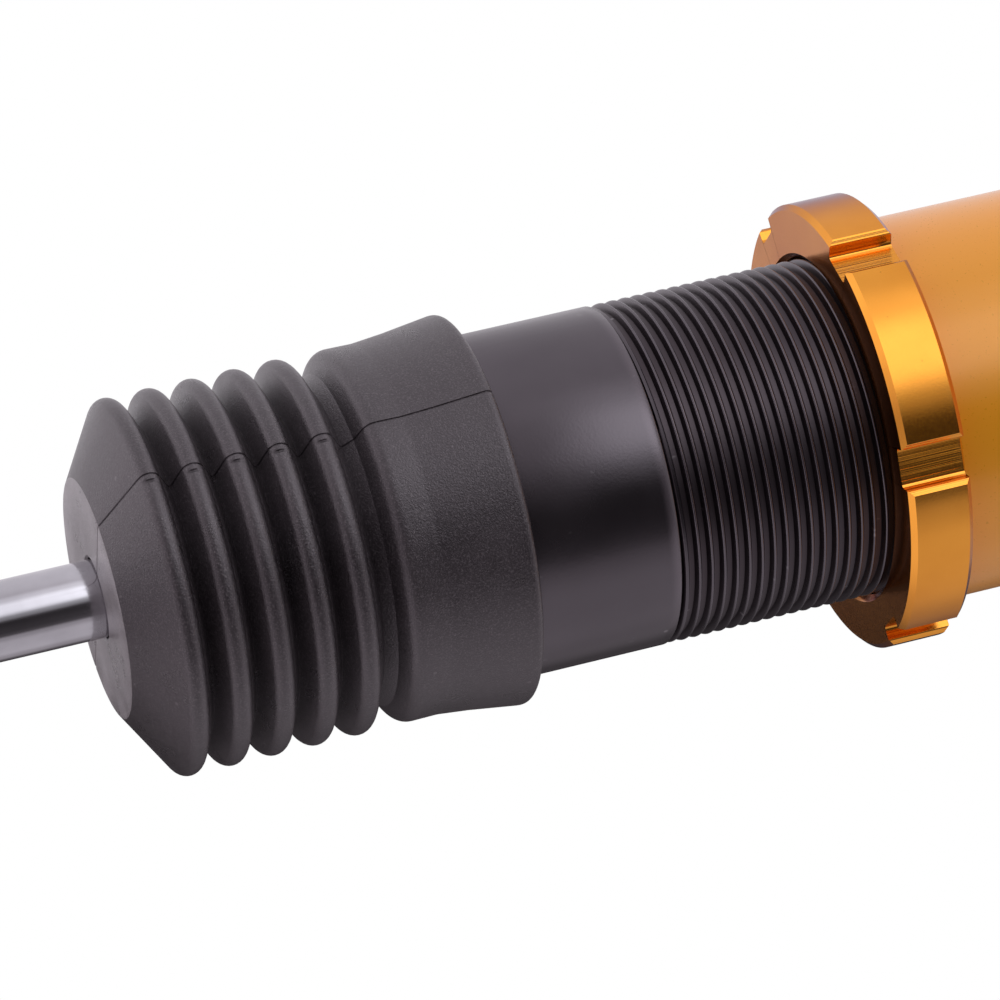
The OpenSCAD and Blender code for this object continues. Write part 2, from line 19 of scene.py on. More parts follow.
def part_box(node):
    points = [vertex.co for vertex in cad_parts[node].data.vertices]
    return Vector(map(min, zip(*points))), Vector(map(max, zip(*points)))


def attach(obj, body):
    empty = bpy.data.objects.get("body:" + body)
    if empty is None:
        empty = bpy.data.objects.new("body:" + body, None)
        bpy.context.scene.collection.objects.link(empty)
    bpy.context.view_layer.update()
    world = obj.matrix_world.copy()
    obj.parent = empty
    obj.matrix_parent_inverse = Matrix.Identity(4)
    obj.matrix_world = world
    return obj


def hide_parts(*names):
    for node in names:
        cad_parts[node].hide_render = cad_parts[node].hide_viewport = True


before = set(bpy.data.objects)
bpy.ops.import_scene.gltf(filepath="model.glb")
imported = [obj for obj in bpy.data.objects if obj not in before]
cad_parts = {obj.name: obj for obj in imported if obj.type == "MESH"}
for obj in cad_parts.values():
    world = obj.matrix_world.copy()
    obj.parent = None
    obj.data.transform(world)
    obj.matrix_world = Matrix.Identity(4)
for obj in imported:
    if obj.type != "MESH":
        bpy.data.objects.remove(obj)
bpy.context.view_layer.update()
MM = 0.001


def span_z(node):
    """Lowest and highest point of a CAD part, in millimetres."""
    low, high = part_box(node)
    return low.z / MM, high.z / MM


def radius_of(node):
    """Outer radius of a round CAD part, on the damper's axis or on the bolt's, in millimetres."""
    low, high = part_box(node)
    return (high.x - low.x) / 2 / MM


# %% [markdown]
# ## The camera
# The damper is looked at from the side, a little from above its nose, and close, so that it runs out of
# both sides of the picture. A long lens from about 0.85 m keeps the tube's edges nearly parallel.
# We could aim a camera with a Track To constraint, but the picture is also rolled, so it is clearer to
# build the three camera axes from the view's tilt and roll and to put them in one matrix.

# %% Camera
nose_top = span_z("dust_boot")[1]
CAMERA_DISTANCE = 836.0
CAMERA_ABOVE_NOSE = 138.0
CAMERA_SIDE_SHIFT = 0.65
VIEW_TILT = math.radians(13.57)
VIEW_ROLL = math.radians(13.13)
LENS_MM = 203.8

forward = Vector((0, math.cos(VIEW_TILT), -math.sin(VIEW_TILT)))
level_up = Vector((1, 0, 0))
level_right = forward.cross(level_up)
right = level_right * math.cos(VIEW_ROLL) - level_up * math.sin(VIEW_ROLL)
up = level_right * math.sin(VIEW_ROLL) + level_up * math.cos(VIEW_ROLL)
eye_point = Vector((CAMERA_SIDE_SHIFT, -CAMERA_DISTANCE, nose_top + CAMERA_ABOVE_NOSE)) * MM

camera_data = bpy.data.cameras.new("camera")
camera_data.lens = LENS_MM
camera_data.sensor_width = 36
camera_data.clip_start = 0.01
camera = bpy.data.objects.new("camera", camera_data)
bpy.context.scene.collection.objects.link(camera)
turn = Matrix((right, up, -forward)).transposed().to_4x4()
camera.matrix_world = Matrix.Translation(eye_point) @ turn
bpy.context.scene.camera = camera
print("camera at", [round(c, 3) for c in eye_point])

# %% [markdown]
# ## The studio
# Shiny round metal is a mirror: what we see on it is the studio. A tube that lies across the picture
# shows the studio as long bands, so the bands are laid out first. From the camera upwards the room grows
# lighter and runs on behind. From the camera downwards there is a dark gap, then a dim wall. A bright
# panel hangs just above the camera, towards the damper's lower end, so that only upright skins mirror it.
# Area lights could make all this, but their hard sides and their noise would have to be tuned for each
# one. A world whose brightness follows the angle round the damper's axis gives clean, soft bands that
# every long part shares. The camera itself sees plain white.

# %% Studio world
# (angle round the damper's axis in degrees, brightness); 0 is the camera's side and 90 the picture's top
STUDIO_BANDS = [
    (-180, 0.03), (-150, 0.1), (-128, 0.42), (-106, 0.62), (-70, 0.6), (-53, 0.42), (-45, 0.1),
    (-35, 0.06), (-10, 0.04), (0, 0.12), (30, 0.42), (60, 0.7), (90, 0.8), (128, 0.82), (180, 0.84),
]
PANEL_BANDS = [(-6, 0.0), (4, 0.3), (19, 1.35), (38, 1.3), (54, 0.4), (70, 0.0)]
# The panel is fully bright for directions whose Z is below the first number, and gone above the second
PANEL_SPAN = (-0.2, 0.04)
COOL = (0.97, 0.925, 0.98)
PANEL_TINT = (0.95, 0.955, 1.0)
WARM = (1.0, 0.88, 0.96)
END_GLOW = 0.4
END_GLOW_FROM = 0.35
END_GLOW_RISE = 1.8


def link(tree, source, target):
    tree.links.new(source, target)


def math_node(tree, operation, first, second=None):
    """A Math node whose inputs are sockets or numbers."""
    node = tree.nodes.new("ShaderNodeMath")
    node.operation = operation
    for socket, value in zip(node.inputs, (first, second)):
        if value is None:
            continue
        if isinstance(value, (int, float)):
            socket.default_value = value
        else:
            link(tree, value, socket)
    return node.outputs[0]


def band_ramp(tree, turn_share, bands):
    """A smooth Color Ramp round the axis, from (angle, colour) bands."""
    node = tree.nodes.new("ShaderNodeValToRGB")
    node.color_ramp.interpolation = "EASE"
    elements = node.color_ramp.elements
    while len(elements) > 1:
        elements.remove(elements[-1])
    for i, (band_angle, colour) in enumerate(bands):
        place = (band_angle + 180) / 360
        element = elements[0] if i == 0 else elements.new(place)
        element.position = place
        element.color = (*colour, 1)
    link(tree, turn_share, node.inputs["Fac"])
    return node.outputs["Color"]


def background(tree, colour, strength):
    """A Background shader; its colour and its strength are sockets or fixed values."""
    node = tree.nodes.new("ShaderNodeBackground")
    if isinstance(colour, tuple):
        node.inputs["Color"].default_value = (*colour, 1)
    else:
        link(tree, colour, node.inputs["Color"])
    if isinstance(strength, (int, float)):
        node.inputs["Strength"].default_value = strength
    else:
        link(tree, strength, node.inputs["Strength"])
    return node.outputs[0]


def added(tree, first, second):
    """Two shaders' light together."""
    node = tree.nodes.new("ShaderNodeAddShader")
    link(tree, first, node.inputs[0])
    link(tree, second, node.inputs[1])
    return node.outputs[0]


world = bpy.data.worlds.new("studio")
bpy.context.scene.world = world
world.use_nodes = True
sky = world.node_tree
sky.nodes.clear()
direction = sky.nodes.new("ShaderNodeTexCoord").outputs["Generated"]
split = sky.nodes.new("ShaderNodeSeparateXYZ")
link(sky, direction, split.inputs[0])
towards_camera = math_node(sky, "MULTIPLY", split.outputs["Y"], -1.0)
angle = math_node(sky, "ARCTAN2", split.outputs["X"], towards_camera)
turn_share = math_node(sky, "ADD", math_node(sky, "DIVIDE", angle, 2 * math.pi), 0.5)
brightest = max(b for _, b in STUDIO_BANDS)
wall_bands = []
for band_angle, bright in STUDIO_BANDS:
    share = bright / brightest
    wall_bands.append((band_angle, [share * (w + (c - w) * share) for w, c in zip(WARM, COOL)]))
walls = background(sky, band_ramp(sky, turn_share, wall_bands), brightest)

panel_top = max(b for _, b in PANEL_BANDS)
panel_bands = [(a, [b / panel_top * t for t in PANEL_TINT]) for a, b in PANEL_BANDS]
panel_edge = sky.nodes.new("ShaderNodeMapRange")
panel_edge.interpolation_type = "SMOOTHSTEP"
panel_edge.inputs["From Min"].default_value, panel_edge.inputs["From Max"].default_value = PANEL_SPAN
panel_edge.inputs["To Min"].default_value, panel_edge.inputs["To Max"].default_value = panel_top, 0.0
link(sky, split.outputs["Z"], panel_edge.inputs["Value"])
panel = background(sky, band_ramp(sky, turn_share, panel_bands), panel_edge.outputs[0])

# Both ends of the room glow a little, so that edges turned towards them show as light lines
endways = math_node(sky, "ABSOLUTE", split.outputs["Z"])
rise = math_node(sky, "MULTIPLY", math_node(sky, "SUBTRACT", endways, END_GLOW_FROM), END_GLOW_RISE)
glow_share = math_node(sky, "MINIMUM", math_node(sky, "MAXIMUM", rise, 0.0), 1.0)
glow = background(sky, WARM, math_node(sky, "MULTIPLY", glow_share, END_GLOW))

either = sky.nodes.new("ShaderNodeMixShader")
seen = sky.nodes.new("ShaderNodeLightPath")
link(sky, seen.outputs["Is Camera Ray"], either.inputs["Fac"])
link(sky, added(sky, added(sky, walls, panel), glow), either.inputs[1])
link(sky, background(sky, (1.0, 1.0, 1.0), 1.0), either.inputs[2])
link(sky, either.outputs[0], sky.nodes.new("ShaderNodeOutputWorld").inputs["Surface"])
bpy.context.scene.view_settings.view_transform = "Standard"
print("studio bands:", len(STUDIO_BANDS))

# %% [markdown]
# ## Helpers for turned shapes
# Almost every piece of a damper is turned on a lathe, moulded round an axis or cut from bar. Blender's
# Screw modifier could spin an outline, but some of our pieces are not quite round: the boot has a parting
# line, the lock ring has notches, and nuts have flats. So one helper joins any ring of columns of points
# into a skin, and a second one makes plain turned pieces from it. Corners are rounded in the outline,
# where it costs a few points, and not with a modifier afterwards.

# %% Mesh helpers
ALONG_BOLT = Matrix.Rotation(math.radians(90), 4, "X")
SHARP = math.radians(28)
NEARLY_STRAIGHT = math.radians(176)


def mesh_object(name, mesh, place=None, sharp=SHARP):
    """Puts a mesh in millimetres into the scene in metres, smooth where its faces turn gently."""
    scale = Matrix.Scale(MM, 4)
    mesh.transform(scale @ place if place is not None else scale)
    mesh.shade_smooth()
    mesh.set_sharp_from_angle(angle=sharp)
    piece = bpy.data.objects.new(name, mesh)
    bpy.context.scene.collection.objects.link(piece)
    return piece


def clean(bm):
    """Merges points that meet on the axis and turns every face outwards."""
    bmesh.ops.remove_doubles(bm, verts=bm.verts, dist=1e-4)
    bmesh.ops.dissolve_degenerate(bm, edges=bm.edges, dist=1e-5)
    bmesh.ops.recalc_face_normals(bm, faces=bm.faces)


def skin(name, columns, closed=True, place=None, sharp=SHARP):
    """Joins columns of points, one after another round the axis, into one skin."""
    bm = bmesh.new()
    grid = [[bm.verts.new(p) for p in column] for column in columns]
    rows = len(columns[0])
    for j, column in enumerate(grid):
        other = grid[(j + 1) % len(grid)]
        for i in range(rows if closed else rows - 1):
            k = (i + 1) % rows
            bm.faces.new((column[i], other[i], other[k], column[k]))
    clean(bm)
    mesh = bpy.data.meshes.new(name)
    bm.to_mesh(mesh)
    bm.free()
    return mesh_object(name, mesh, place, sharp)


def polar(r, theta, z):
    return (r * math.cos(theta), r * math.sin(theta), z)


def turned(name, outline, segments=192, place=None, sharp=SHARP):
    """A piece turned on a lathe from an outline of (radius, height) points.

    An outline that starts and ends on the axis is a solid bar, and any other one is a ring.
    """
    columns = [[polar(r, 2 * math.pi * j / segments, z) for r, z in outline] for j in range(segments)]
    on_axis = outline[0][0] == 0 and outline[-1][0] == 0
    return skin(name, columns, not on_axis, place, sharp)


def rounded(points, radius, steps=4, closed=True):
    """Rounds the corners of an outline. radius is one number, or one for each corner."""
    radii = [radius] * len(points) if isinstance(radius, (int, float)) else list(radius)
    made = []
    for i, (corner, r) in enumerate(zip(points, radii)):
        inside = closed or 0 < i < len(points) - 1
        if r == 0 or not inside:
            made.append(tuple(corner))
            continue
        here = Vector(corner)
        to_last = Vector(points[i - 1]) - here
        to_next = Vector(points[(i + 1) % len(points)]) - here
        half = to_last.angle(to_next) / 2
        if half > NEARLY_STRAIGHT / 2:
            made.append(tuple(corner))
            continue
        longest = 0.45 * min(to_last.length, to_next.length)
        reach = min(r / math.tan(half), longest)
        start = here + to_last.normalized() * reach
        end = here + to_next.normalized() * reach
        for k in range(steps + 1):
            t = k / steps
            made.append(tuple((1 - t) ** 2 * start + 2 * t * (1 - t) * here + t * t * end))
    return made


def mirrored(half):
    """A closed outline from its upper half: the half turned over, and the half itself back again."""
    return [(r, -z) for r, z in half] + [(r, z) for r, z in reversed(half)]


def join(name, pieces):
    """Makes one piece out of several."""
    for p in pieces:
        p.select_set(True)
    bpy.context.view_layer.objects.active = pieces[0]
    with bpy.context.temp_override(active_object=pieces[0], selected_editable_objects=pieces):
        bpy.ops.object.join()
    pieces[0].name = name
    return pieces[0]


def settle(piece, body, finish, *nodes, slot=None):
    """Gives a piece its finish, lets it ride on its body, and hides the CAD parts that it stands for."""
    piece.data.materials.clear()
    piece.data.materials.append(finish)
    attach(piece, body)
    if nodes:
        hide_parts(*nodes)
    print(f"{piece.name}: {len(piece.data.polygons)} faces, rides on {body}")
    return piece


def finish_faces(piece, finish, faces):
    """Gives some faces of a piece a second finish."""
    piece.data.materials.append(finish)
    for face in faces:
        face.material_index = len(piece.data.materials) - 1
    print(f"{piece.name}: {len(faces)} faces in {finish.name}")


# %% [markdown]
# ## Finishes: shared nodes
# A finish on a real part varies: polish drifts, paint has grain, dust settles. Image textures would need
# UVs on every piece, so all of our finishes are made of noise in the piece's own coordinates, which move
# with the piece. A round part is turned or ground round its axis, so its marks are made in cylinder
# coordinates: radius, angle and height.

# %% Finish helpers
EMPTY_CELLS = 0.72


def new_finish(name):
    """An empty material with its shader, ready to be wired."""
    made = bpy.data.materials.new(name)
    made.use_nodes = True
    tree = made.node_tree
    return made, tree, tree.nodes["Principled BSDF"]


def own_coordinates(tree, stretch=(1, 1, 1)):
    """The piece's own coordinates in metres, stretched."""
    coords = tree.nodes.new("ShaderNodeTexCoord")
    mapping = tree.nodes.new("ShaderNodeMapping")
    mapping.inputs["Scale"].default_value = stretch
    link(tree, coords.outputs["Object"], mapping.inputs["Vector"])
    return mapping.outputs[0]


def round_coordinates(tree, stretch, axis="Z"):
    """Radius, arc and height round the damper's axis or the bolt's, for marks left by turning."""
    coords = tree.nodes.new("ShaderNodeTexCoord")
    parts = tree.nodes.new("ShaderNodeSeparateXYZ")
    link(tree, coords.outputs["Object"], parts.inputs[0])
    first, second, along = ("X", "Y", "Z") if axis == "Z" else ("X", "Z", "Y")
    a, b = parts.outputs[first], parts.outputs[second]
    a_squared, b_squared = math_node(tree, "MULTIPLY", a, a), math_node(tree, "MULTIPLY", b, b)
    squares = math_node(tree, "ADD", a_squared, b_squared)
    radius = math_node(tree, "SQRT", squares)
    arc = math_node(tree, "ABSOLUTE", math_node(tree, "ARCTAN2", a, b))
    packed = tree.nodes.new("ShaderNodeCombineXYZ")
    link(tree, math_node(tree, "MULTIPLY", radius, stretch[0]), packed.inputs[0])
    link(tree, math_node(tree, "MULTIPLY", arc, stretch[1]), packed.inputs[1])
    link(tree, math_node(tree, "MULTIPLY", parts.outputs[along], stretch[2]), packed.inputs[2])
    return packed.outputs[0]


def noise(tree, vector, scale, detail=3.0, roughness=0.55):
    node = tree.nodes.new("ShaderNodeTexNoise")
    node.inputs["Scale"].default_value = scale
    node.inputs["Detail"].default_value = detail
    node.inputs["Roughness"].default_value = roughness
    link(tree, vector, node.inputs["Vector"])
    return node.outputs["Fac"]


def specks(tree, vector, scale, size):
    """Round dots, 1 inside and 0 outside, in a share of the cells that looks random but is fixed."""
    cells = tree.nodes.new("ShaderNodeTexVoronoi")
    cells.inputs["Scale"].default_value = scale
    link(tree, vector, cells.inputs["Vector"])
    near = math_node(tree, "LESS_THAN", cells.outputs["Distance"], size)
    split_colour = tree.nodes.new("ShaderNodeSeparateColor")
    link(tree, cells.outputs["Color"], split_colour.inputs[0])
    chosen = math_node(tree, "GREATER_THAN", split_colour.outputs[0], EMPTY_CELLS)
    return math_node(tree, "MULTIPLY", near, chosen)


def spread(tree, factor, low, high, start=0.3, end=0.7):
    """Maps a factor from start..end to low..high, held at both ends."""
    node = tree.nodes.new("ShaderNodeMapRange")
    node.inputs["From Min"].default_value = start
    node.inputs["From Max"].default_value = end
    node.inputs["To Min"].default_value = low
    node.inputs["To Max"].default_value = high
    link(tree, factor, node.inputs["Value"])
    return node.outputs[0]


def mix_colours(tree, factor, first, second):
    """Mixes two colours, each a socket or a tuple, by a factor that is a socket."""
    node = tree.nodes.new("ShaderNodeMix")
    node.data_type = "RGBA"
    sockets = [s for s in node.inputs if s.type == "RGBA"]
    for socket, value in zip(sockets, (first, second)):
        if isinstance(value, tuple):
            socket.default_value = (*value, 1)
        else:
            link(tree, value, socket)
    link(tree, factor, node.inputs["Factor"])
    return next(s for s in node.outputs if s.type == "RGBA")


def varied(tree, factor, first, second):
    """A colour that drifts from one to another with a noise."""
    return mix_colours(tree, spread(tree, factor, 0, 1), first, second)


def overlaid(tree, colour, mask, share, over):
    """A colour with another over it, by a share of a mask."""
    return mix_colours(tree, math_node(tree, "MULTIPLY", mask, share), colour, over)


def wire(tree, shader, colour, roughness, normal):
    """Links what a finish has made to its shader."""
    for name, source in (("Base Color", colour), ("Roughness", roughness), ("Normal", normal)):
        link(tree, source, shader.inputs[name])


def bump(tree, height, distance, strength=1.0, under=None):
    """Turns a height into a bump, over an earlier bump if one is given."""
    node = tree.nodes.new("ShaderNodeBump")
    node.inputs["Strength"].default_value = strength
    node.inputs["Distance"].default_value = distance
    link(tree, height, node.inputs["Height"])
    if under is not None:
        link(tree, under, node.inputs["Normal"])
    return node.outputs[0]


# %% [markdown]
# ## Gold finishes
# The lower housing is satin gold: a coloured coat that still has some metal in it. The lock ring is
# anodised aluminium, a dyed film on turned metal, so it is a real mirror with a coloured tint. One shared
# gold would look wrong on both, because the housing stays bright where it reflects the dark gap, while
# the ring turns brown there. So the housing is diffuse colour with a little metal under a clear coat, and
# the ring is all metal, with turning marks on its turned faces and milling marks in its slots.

# %% Gold finishes
HOUSING_GOLD = (1.0, 0.42, 0.016)
HOUSING_SHADE = (1.0, 0.39, 0.015)
RING_GOLD = (1.0, 0.42, 0.05)
RING_SHADE = (0.88, 0.34, 0.034)


def housing_gold(axis="Z"):
    """Satin gold coat, with a few dark specks."""
    made, tree, shader = new_finish(f"housing_gold_{axis}")
    own = own_coordinates(tree)
    drift = noise(tree, own, 14, 2)
    colour = varied(tree, drift, HOUSING_GOLD, HOUSING_SHADE)
    dirt = specks(tree, own, 95, 0.055)
    colour = overlaid(tree, colour, dirt, 0.75, (0.16, 0.05, 0.01))
    grain = noise(tree, own, 2600, 2)
    shader.inputs["Metallic"].default_value = 0.16
    shader.inputs["Coat Weight"].default_value = 0.62
    shader.inputs["Coat Roughness"].default_value = 0.1
    lathe_marks = noise(tree, round_coordinates(tree, (0, 0.4, 900), axis), 1.0, 2)
    first = bump(tree, lathe_marks, 0.00002, 0.35)
    wire(tree, shader, colour, spread(tree, grain, 0.27, 0.36), bump(tree, grain, 0.00002, 0.5, first))
    return made


def ring_gold(name, marks, cut_depth):
    """Gold anodised aluminium with a tool's marks; marks says how fast they change along the radius,
    the arc and the height."""
    made, tree, shader = new_finish(name)
    own = own_coordinates(tree)
    drift = noise(tree, own, 60, 3)
    colour = varied(tree, drift, RING_GOLD, RING_SHADE)
    pits = specks(tree, own, 420, 0.07)
    colour = overlaid(tree, colour, pits, 0.3, (0.3, 0.1, 0.01))
    shader.inputs["Metallic"].default_value = 1.0
    shader.inputs["Specular Tint"].default_value = (0.4, 0.42, 0.62, 1)
    shader.inputs["Coat Weight"].default_value = 0.3
    shader.inputs["Coat Roughness"].default_value = 0.16
    grain = noise(tree, own, 3000, 2)
    tool_marks = noise(tree, round_coordinates(tree, marks), 1.0, 2)
    first = bump(tree, tool_marks, cut_depth, 0.5)
    wire(tree, shader, colour, spread(tree, grain, 0.14, 0.21), bump(tree, grain, 0.00001, 0.4, first))
    return made


gold_coat = housing_gold("Z")
gold_coat_eye = housing_gold("Y")
gold_turned = ring_gold("ring_gold_turned", marks=(5200, 0.6, 4200), cut_depth=0.00001)
gold_milled = ring_gold("ring_gold_milled", marks=(900, 120, 12), cut_depth=0.0002)
print("gold finishes:", gold_coat.name, gold_turned.name, gold_milled.name)

# %% [markdown]
# ## Blackened metal, rubber and chrome
# The body tube is blackened metal: dark, but a smooth skin that still mirrors the studio's bands, with
# duller thread grooves that are also darkened in colour as painted shade. Rubber is as dark but rougher, with
# the grain of its mould, powder and dust, and its nose face is painted paler, a painted reflection of the
# studio's bright end. Chrome is a mirror with faint polishing marks along the stroke. A flat dark grey on any
# of them would look like a hole, so each finish gets its own roughness, grain and dust.

# %% Blackened metal, rubber and chrome
tube_r = radius_of("damper_tube")
# Play between two pieces where one sits on the other
SLIP = 0.05
# A groove is fully dull, and fully darkened by painted shade, this far below the crest, and a crest is clean
# down to this depth
GROOVE_DULL_AND_SHADED = 0.8
CREST_CLEAN = 0.08


def blackened_metal():
    """Blackened metal, dark but still a mirror, with dull thread grooves darkened by painted shade, fine
    grain and a little dust.
    """
    made, tree, shader = new_finish("blackened_metal")
    own = own_coordinates(tree)
    cloud = noise(tree, own, 40, 4)
    colour = varied(tree, cloud, (0.12, 0.108, 0.119), (0.144, 0.13, 0.143))
    radius = tree.nodes.new("ShaderNodeSeparateXYZ")
    link(tree, round_coordinates(tree, (1, 1, 1)), radius.inputs[0])
    groove = spread(tree, radius.outputs["X"], 1, 0, (tube_r - GROOVE_DULL_AND_SHADED) * MM, (tube_r - CREST_CLEAN) * MM)
    # Painted shade: the thread's grooves are darkened in colour towards their roots
    colour = overlaid(tree, colour, groove, 0.5, (0.03, 0.017, 0.019))
    dust = specks(tree, own, 210, 0.075)
    scrape = spread(tree, noise(tree, own_coordinates(tree, (1, 1, 0.5)), 520, 2), 0, 1, 0.72, 0.78)
    marks = math_node(tree, "MAXIMUM", dust, math_node(tree, "MULTIPLY", scrape, 0.6))
    colour = overlaid(tree, colour, marks, 0.5, (0.5, 0.48, 0.5))
    grain = noise(tree, own, 2400, 2)
    dulled = math_node(tree, "MULTIPLY", groove, 0.16)
    roughness = math_node(tree, "ADD", spread(tree, cloud, 0.2, 0.3), dulled)
    shader.inputs["Metallic"].default_value = 1.0
    wire(tree, shader, colour, roughness, bump(tree, grain, 0.00002, 0.55))
    return made


def moulded_rubber(name, dark, pale, roughness=(0.25, 0.36), dust_share=0.5, powder_share=0.38):
    """Moulded rubber: mottled, powdery and slightly dusty, with the grain of its mould."""
    made, tree, shader = new_finish(name)
    own = own_coordinates(tree)
    mottle = noise(tree, own, 130, 5, 0.62)
    grain = noise(tree, own, 3600, 3, 0.7)
    tone = math_node(tree, "MULTIPLY", math_node(tree, "ADD", mottle, grain), 0.5)
    colour = mix_colours(tree, spread(tree, tone, 0, 1, 0.38, 0.62), dark, pale)
    powder = spread(tree, grain, 0, powder_share, 0.52, 0.64)
    colour = mix_colours(tree, powder, colour, (0.15, 0.138, 0.144))
    dust = math_node(tree, "MAXIMUM", specks(tree, own, 230, 0.07), specks(tree, own, 1100, 0.13))
    colour = overlaid(tree, colour, dust, dust_share, (0.16, 0.145, 0.15))
    shader.inputs["IOR"].default_value = 1.6
    shader.inputs["Specular IOR Level"].default_value = 0.86
    shader.inputs["Specular Tint"].default_value = (1.0, 0.93, 0.98, 1)
    swirl = noise(tree, own, 260, 4)
    first = bump(tree, swirl, 0.0001, 0.4)
    wire(tree, shader, colour, spread(tree, mottle, *roughness), bump(tree, grain, 0.00009, 1.0, first))
    return made


def hard_chrome():
    """Polished chrome with fine marks along the stroke and a few dots."""
    made, tree, shader = new_finish("hard_chrome")
    own = own_coordinates(tree)
    drag = noise(tree, own_coordinates(tree, (1, 1, 0.04)), 1800, 3)
    cloud = noise(tree, own, 120, 3)
    colour = varied(tree, cloud, (0.5, 0.495, 0.525), (0.6, 0.595, 0.63))
    dots = specks(tree, own, 170, 0.06)
    colour = overlaid(tree, colour, dots, 0.7, (0.12, 0.11, 0.11))
    shader.inputs["Metallic"].default_value = 1.0
    wire(tree, shader, colour, spread(tree, drag, 0.06, 0.14), bump(tree, drag, 0.000008, 0.5))
    return made


body_black = blackened_metal()
boot_rubber = moulded_rubber("boot_rubber", (0.007, 0.005, 0.006), (0.022, 0.0175, 0.02))
# Painted reflection: the nose face gets much paler rubber, standing in for the bright studio end that it
# mirrors
nose_rubber_painted_reflection = moulded_rubber("nose_rubber_painted_reflection", (0.16, 0.148, 0.152), (0.38, 0.36, 0.37), (0.25, 0.35), 0.3, 0.0)
bush_rubber = moulded_rubber("bush_rubber", (0.016, 0.015, 0.016), (0.03, 0.028, 0.029))
chrome = hard_chrome()
dark_finishes = (body_black, boot_rubber, nose_rubber_painted_reflection, bush_rubber, chrome)
print("dark finishes and chrome:", [finish.name for finish in dark_finishes])

# %% [markdown]
# ## Steel, bronze and plastic
# Fasteners are zinc plated, inner parts are bare turned steel, the slide bush is bronze, the top mount's
# plate is coated black, and the piston band and the nut's locking ring are plastic. Turned metal is one
# recipe, and cloudy skins, coated or moulded, are another, with the colours as parameters: a separate
# graph for each would only repeat the same nodes.

# %% Metal and plastic recipes
def turned_metal(name, light, dark, roughness, axis="Z"):
    """A bare or plated metal with turning marks round its axis and slow stains."""
    made, tree, shader = new_finish(name)
    own = own_coordinates(tree)
    stain = noise(tree, own, 90, 4)
    shader.inputs["Metallic"].default_value = 1.0
    lathe_marks = noise(tree, round_coordinates(tree, (3600, 0.8, 3600), axis), 1.0, 3)
    polish = spread(tree, lathe_marks, *roughness)
    wire(tree, shader, varied(tree, stain, light, dark), polish, bump(tree, lathe_marks, 0.00001, 0.6))
    return made


def cloudy_skin(name, light, dark, roughness, cloud_size, grain_size, grain_depth, grain_strength):
    """A skin with slow clouds in its colour and polish, and a fine grain. Sizes are (scale, detail)."""
    made, tree, shader = new_finish(name)
    own = own_coordinates(tree)
    cloud = noise(tree, own, *cloud_size)
    grain = bump(tree, noise(tree, own, *grain_size), grain_depth, grain_strength)
    wire(tree, shader, varied(tree, cloud, light, dark), spread(tree, cloud, *roughness), grain)
    return made


def coated_steel(name, light, dark):
    """Black coated steel with a dimpled skin that is a little worn."""
    return cloudy_skin(name, light, dark, (0.3, 0.45), (110, 5), (900, 2), 0.00004, 0.5)


def moulded_plastic(name, light, dark):
    """Plastic with a slight cloudiness and a soft sheen."""
    return cloudy_skin(name, light, dark, (0.35, 0.5), (300, 3), (1800, 2), 0.00002, 0.4)


ZINC_RECIPE = ((0.68, 0.68, 0.66), (0.5, 0.5, 0.5), (0.28, 0.42))
zinc = turned_metal("zinc_plate", *ZINC_RECIPE)
zinc_bolt = turned_metal("zinc_plate_bolt", *ZINC_RECIPE, "Y")
bare_steel = turned_metal("bare_steel", (0.56, 0.56, 0.58), (0.42, 0.42, 0.45), (0.18, 0.3))
bare_steel_bolt = turned_metal("bare_steel_bolt", (0.4, 0.4, 0.41), (0.28, 0.28, 0.3), (0.3, 0.45), "Y")
bronze = turned_metal("bush_bronze", (0.66, 0.4, 0.16), (0.5, 0.3, 0.12), (0.25, 0.4))
mount_black = coated_steel("mount_black", (0.018, 0.018, 0.02), (0.035, 0.034, 0.036))
seal_rubber = moulded_rubber("seal_rubber", (0.09, 0.03, 0.02), (0.14, 0.05, 0.03), dust_share=0.1)
nylon = moulded_plastic("nylon_blue", (0.03, 0.08, 0.32), (0.02, 0.06, 0.24))
slide_plastic = moulded_plastic("slide_plastic", (0.55, 0.47, 0.33), (0.45, 0.38, 0.26))
print("materials so far:", len(bpy.data.materials))

# %% [markdown]
# ## The dust boot
# The boot is one rubber moulding: a flat nose that is also the bump stop, a cone, five fins and a collar
# that is stretched over the tube. It was moulded in two halves, and where they met a fine line runs down
# both sides, over every fin and across the nose. A texture could draw the line, but it would not catch
# the light on the crests, so the boot's skin is really cut there: a few extra columns of points sit close
# together on the line, always the same distance apart in millimetres, and are pushed in along the
# skin's own normal.

# %% Boot outline
boot_low, boot_high = span_z("dust_boot")
tube_bottom, tube_top = span_z("damper_tube")
FINS = 5
FIN_PITCH = 6.6
FIRST_CREST = 7.6
CREST_ROUND = 1.8
FIN_R = tube_r + 2.5
GROOVE_R = tube_r - 2.0
GROOVE_RISE = 0.35
GROOVE_SIDE = 0.32
NOSE_R = 18.5
NOSE_MIDWAY_R = 12.0
HOLE_R = 6.3
HOLE_EDGE = 0.35
COLLAR_LENGTH = 19.5
COLLAR_GRIP = 17.5
BOOT_WALL = 2.8
NOSE_THICKNESS = 9.0
boot_length = boot_high - boot_low


def fin_points(crest_s, crest_r, crest_round, before, after, steps=10):
    """A rounded fin: straight flanks from the point before to the point after, round at the crest."""
    centre = Vector((crest_r - crest_round, crest_s))
    ends = []
    for point, sign in ((before, -1), (after, 1)):
        away = Vector(point) - centre
        lean = math.acos(crest_round / away.length)
        ends.append(math.atan2(away.y, away.x) - sign * lean)
    return [
        (centre.x + crest_round * math.cos(a), centre.y + crest_round * math.sin(a))
        for a in (ends[0] + (ends[1] - ends[0]) * k / steps for k in range(steps + 1))
    ]


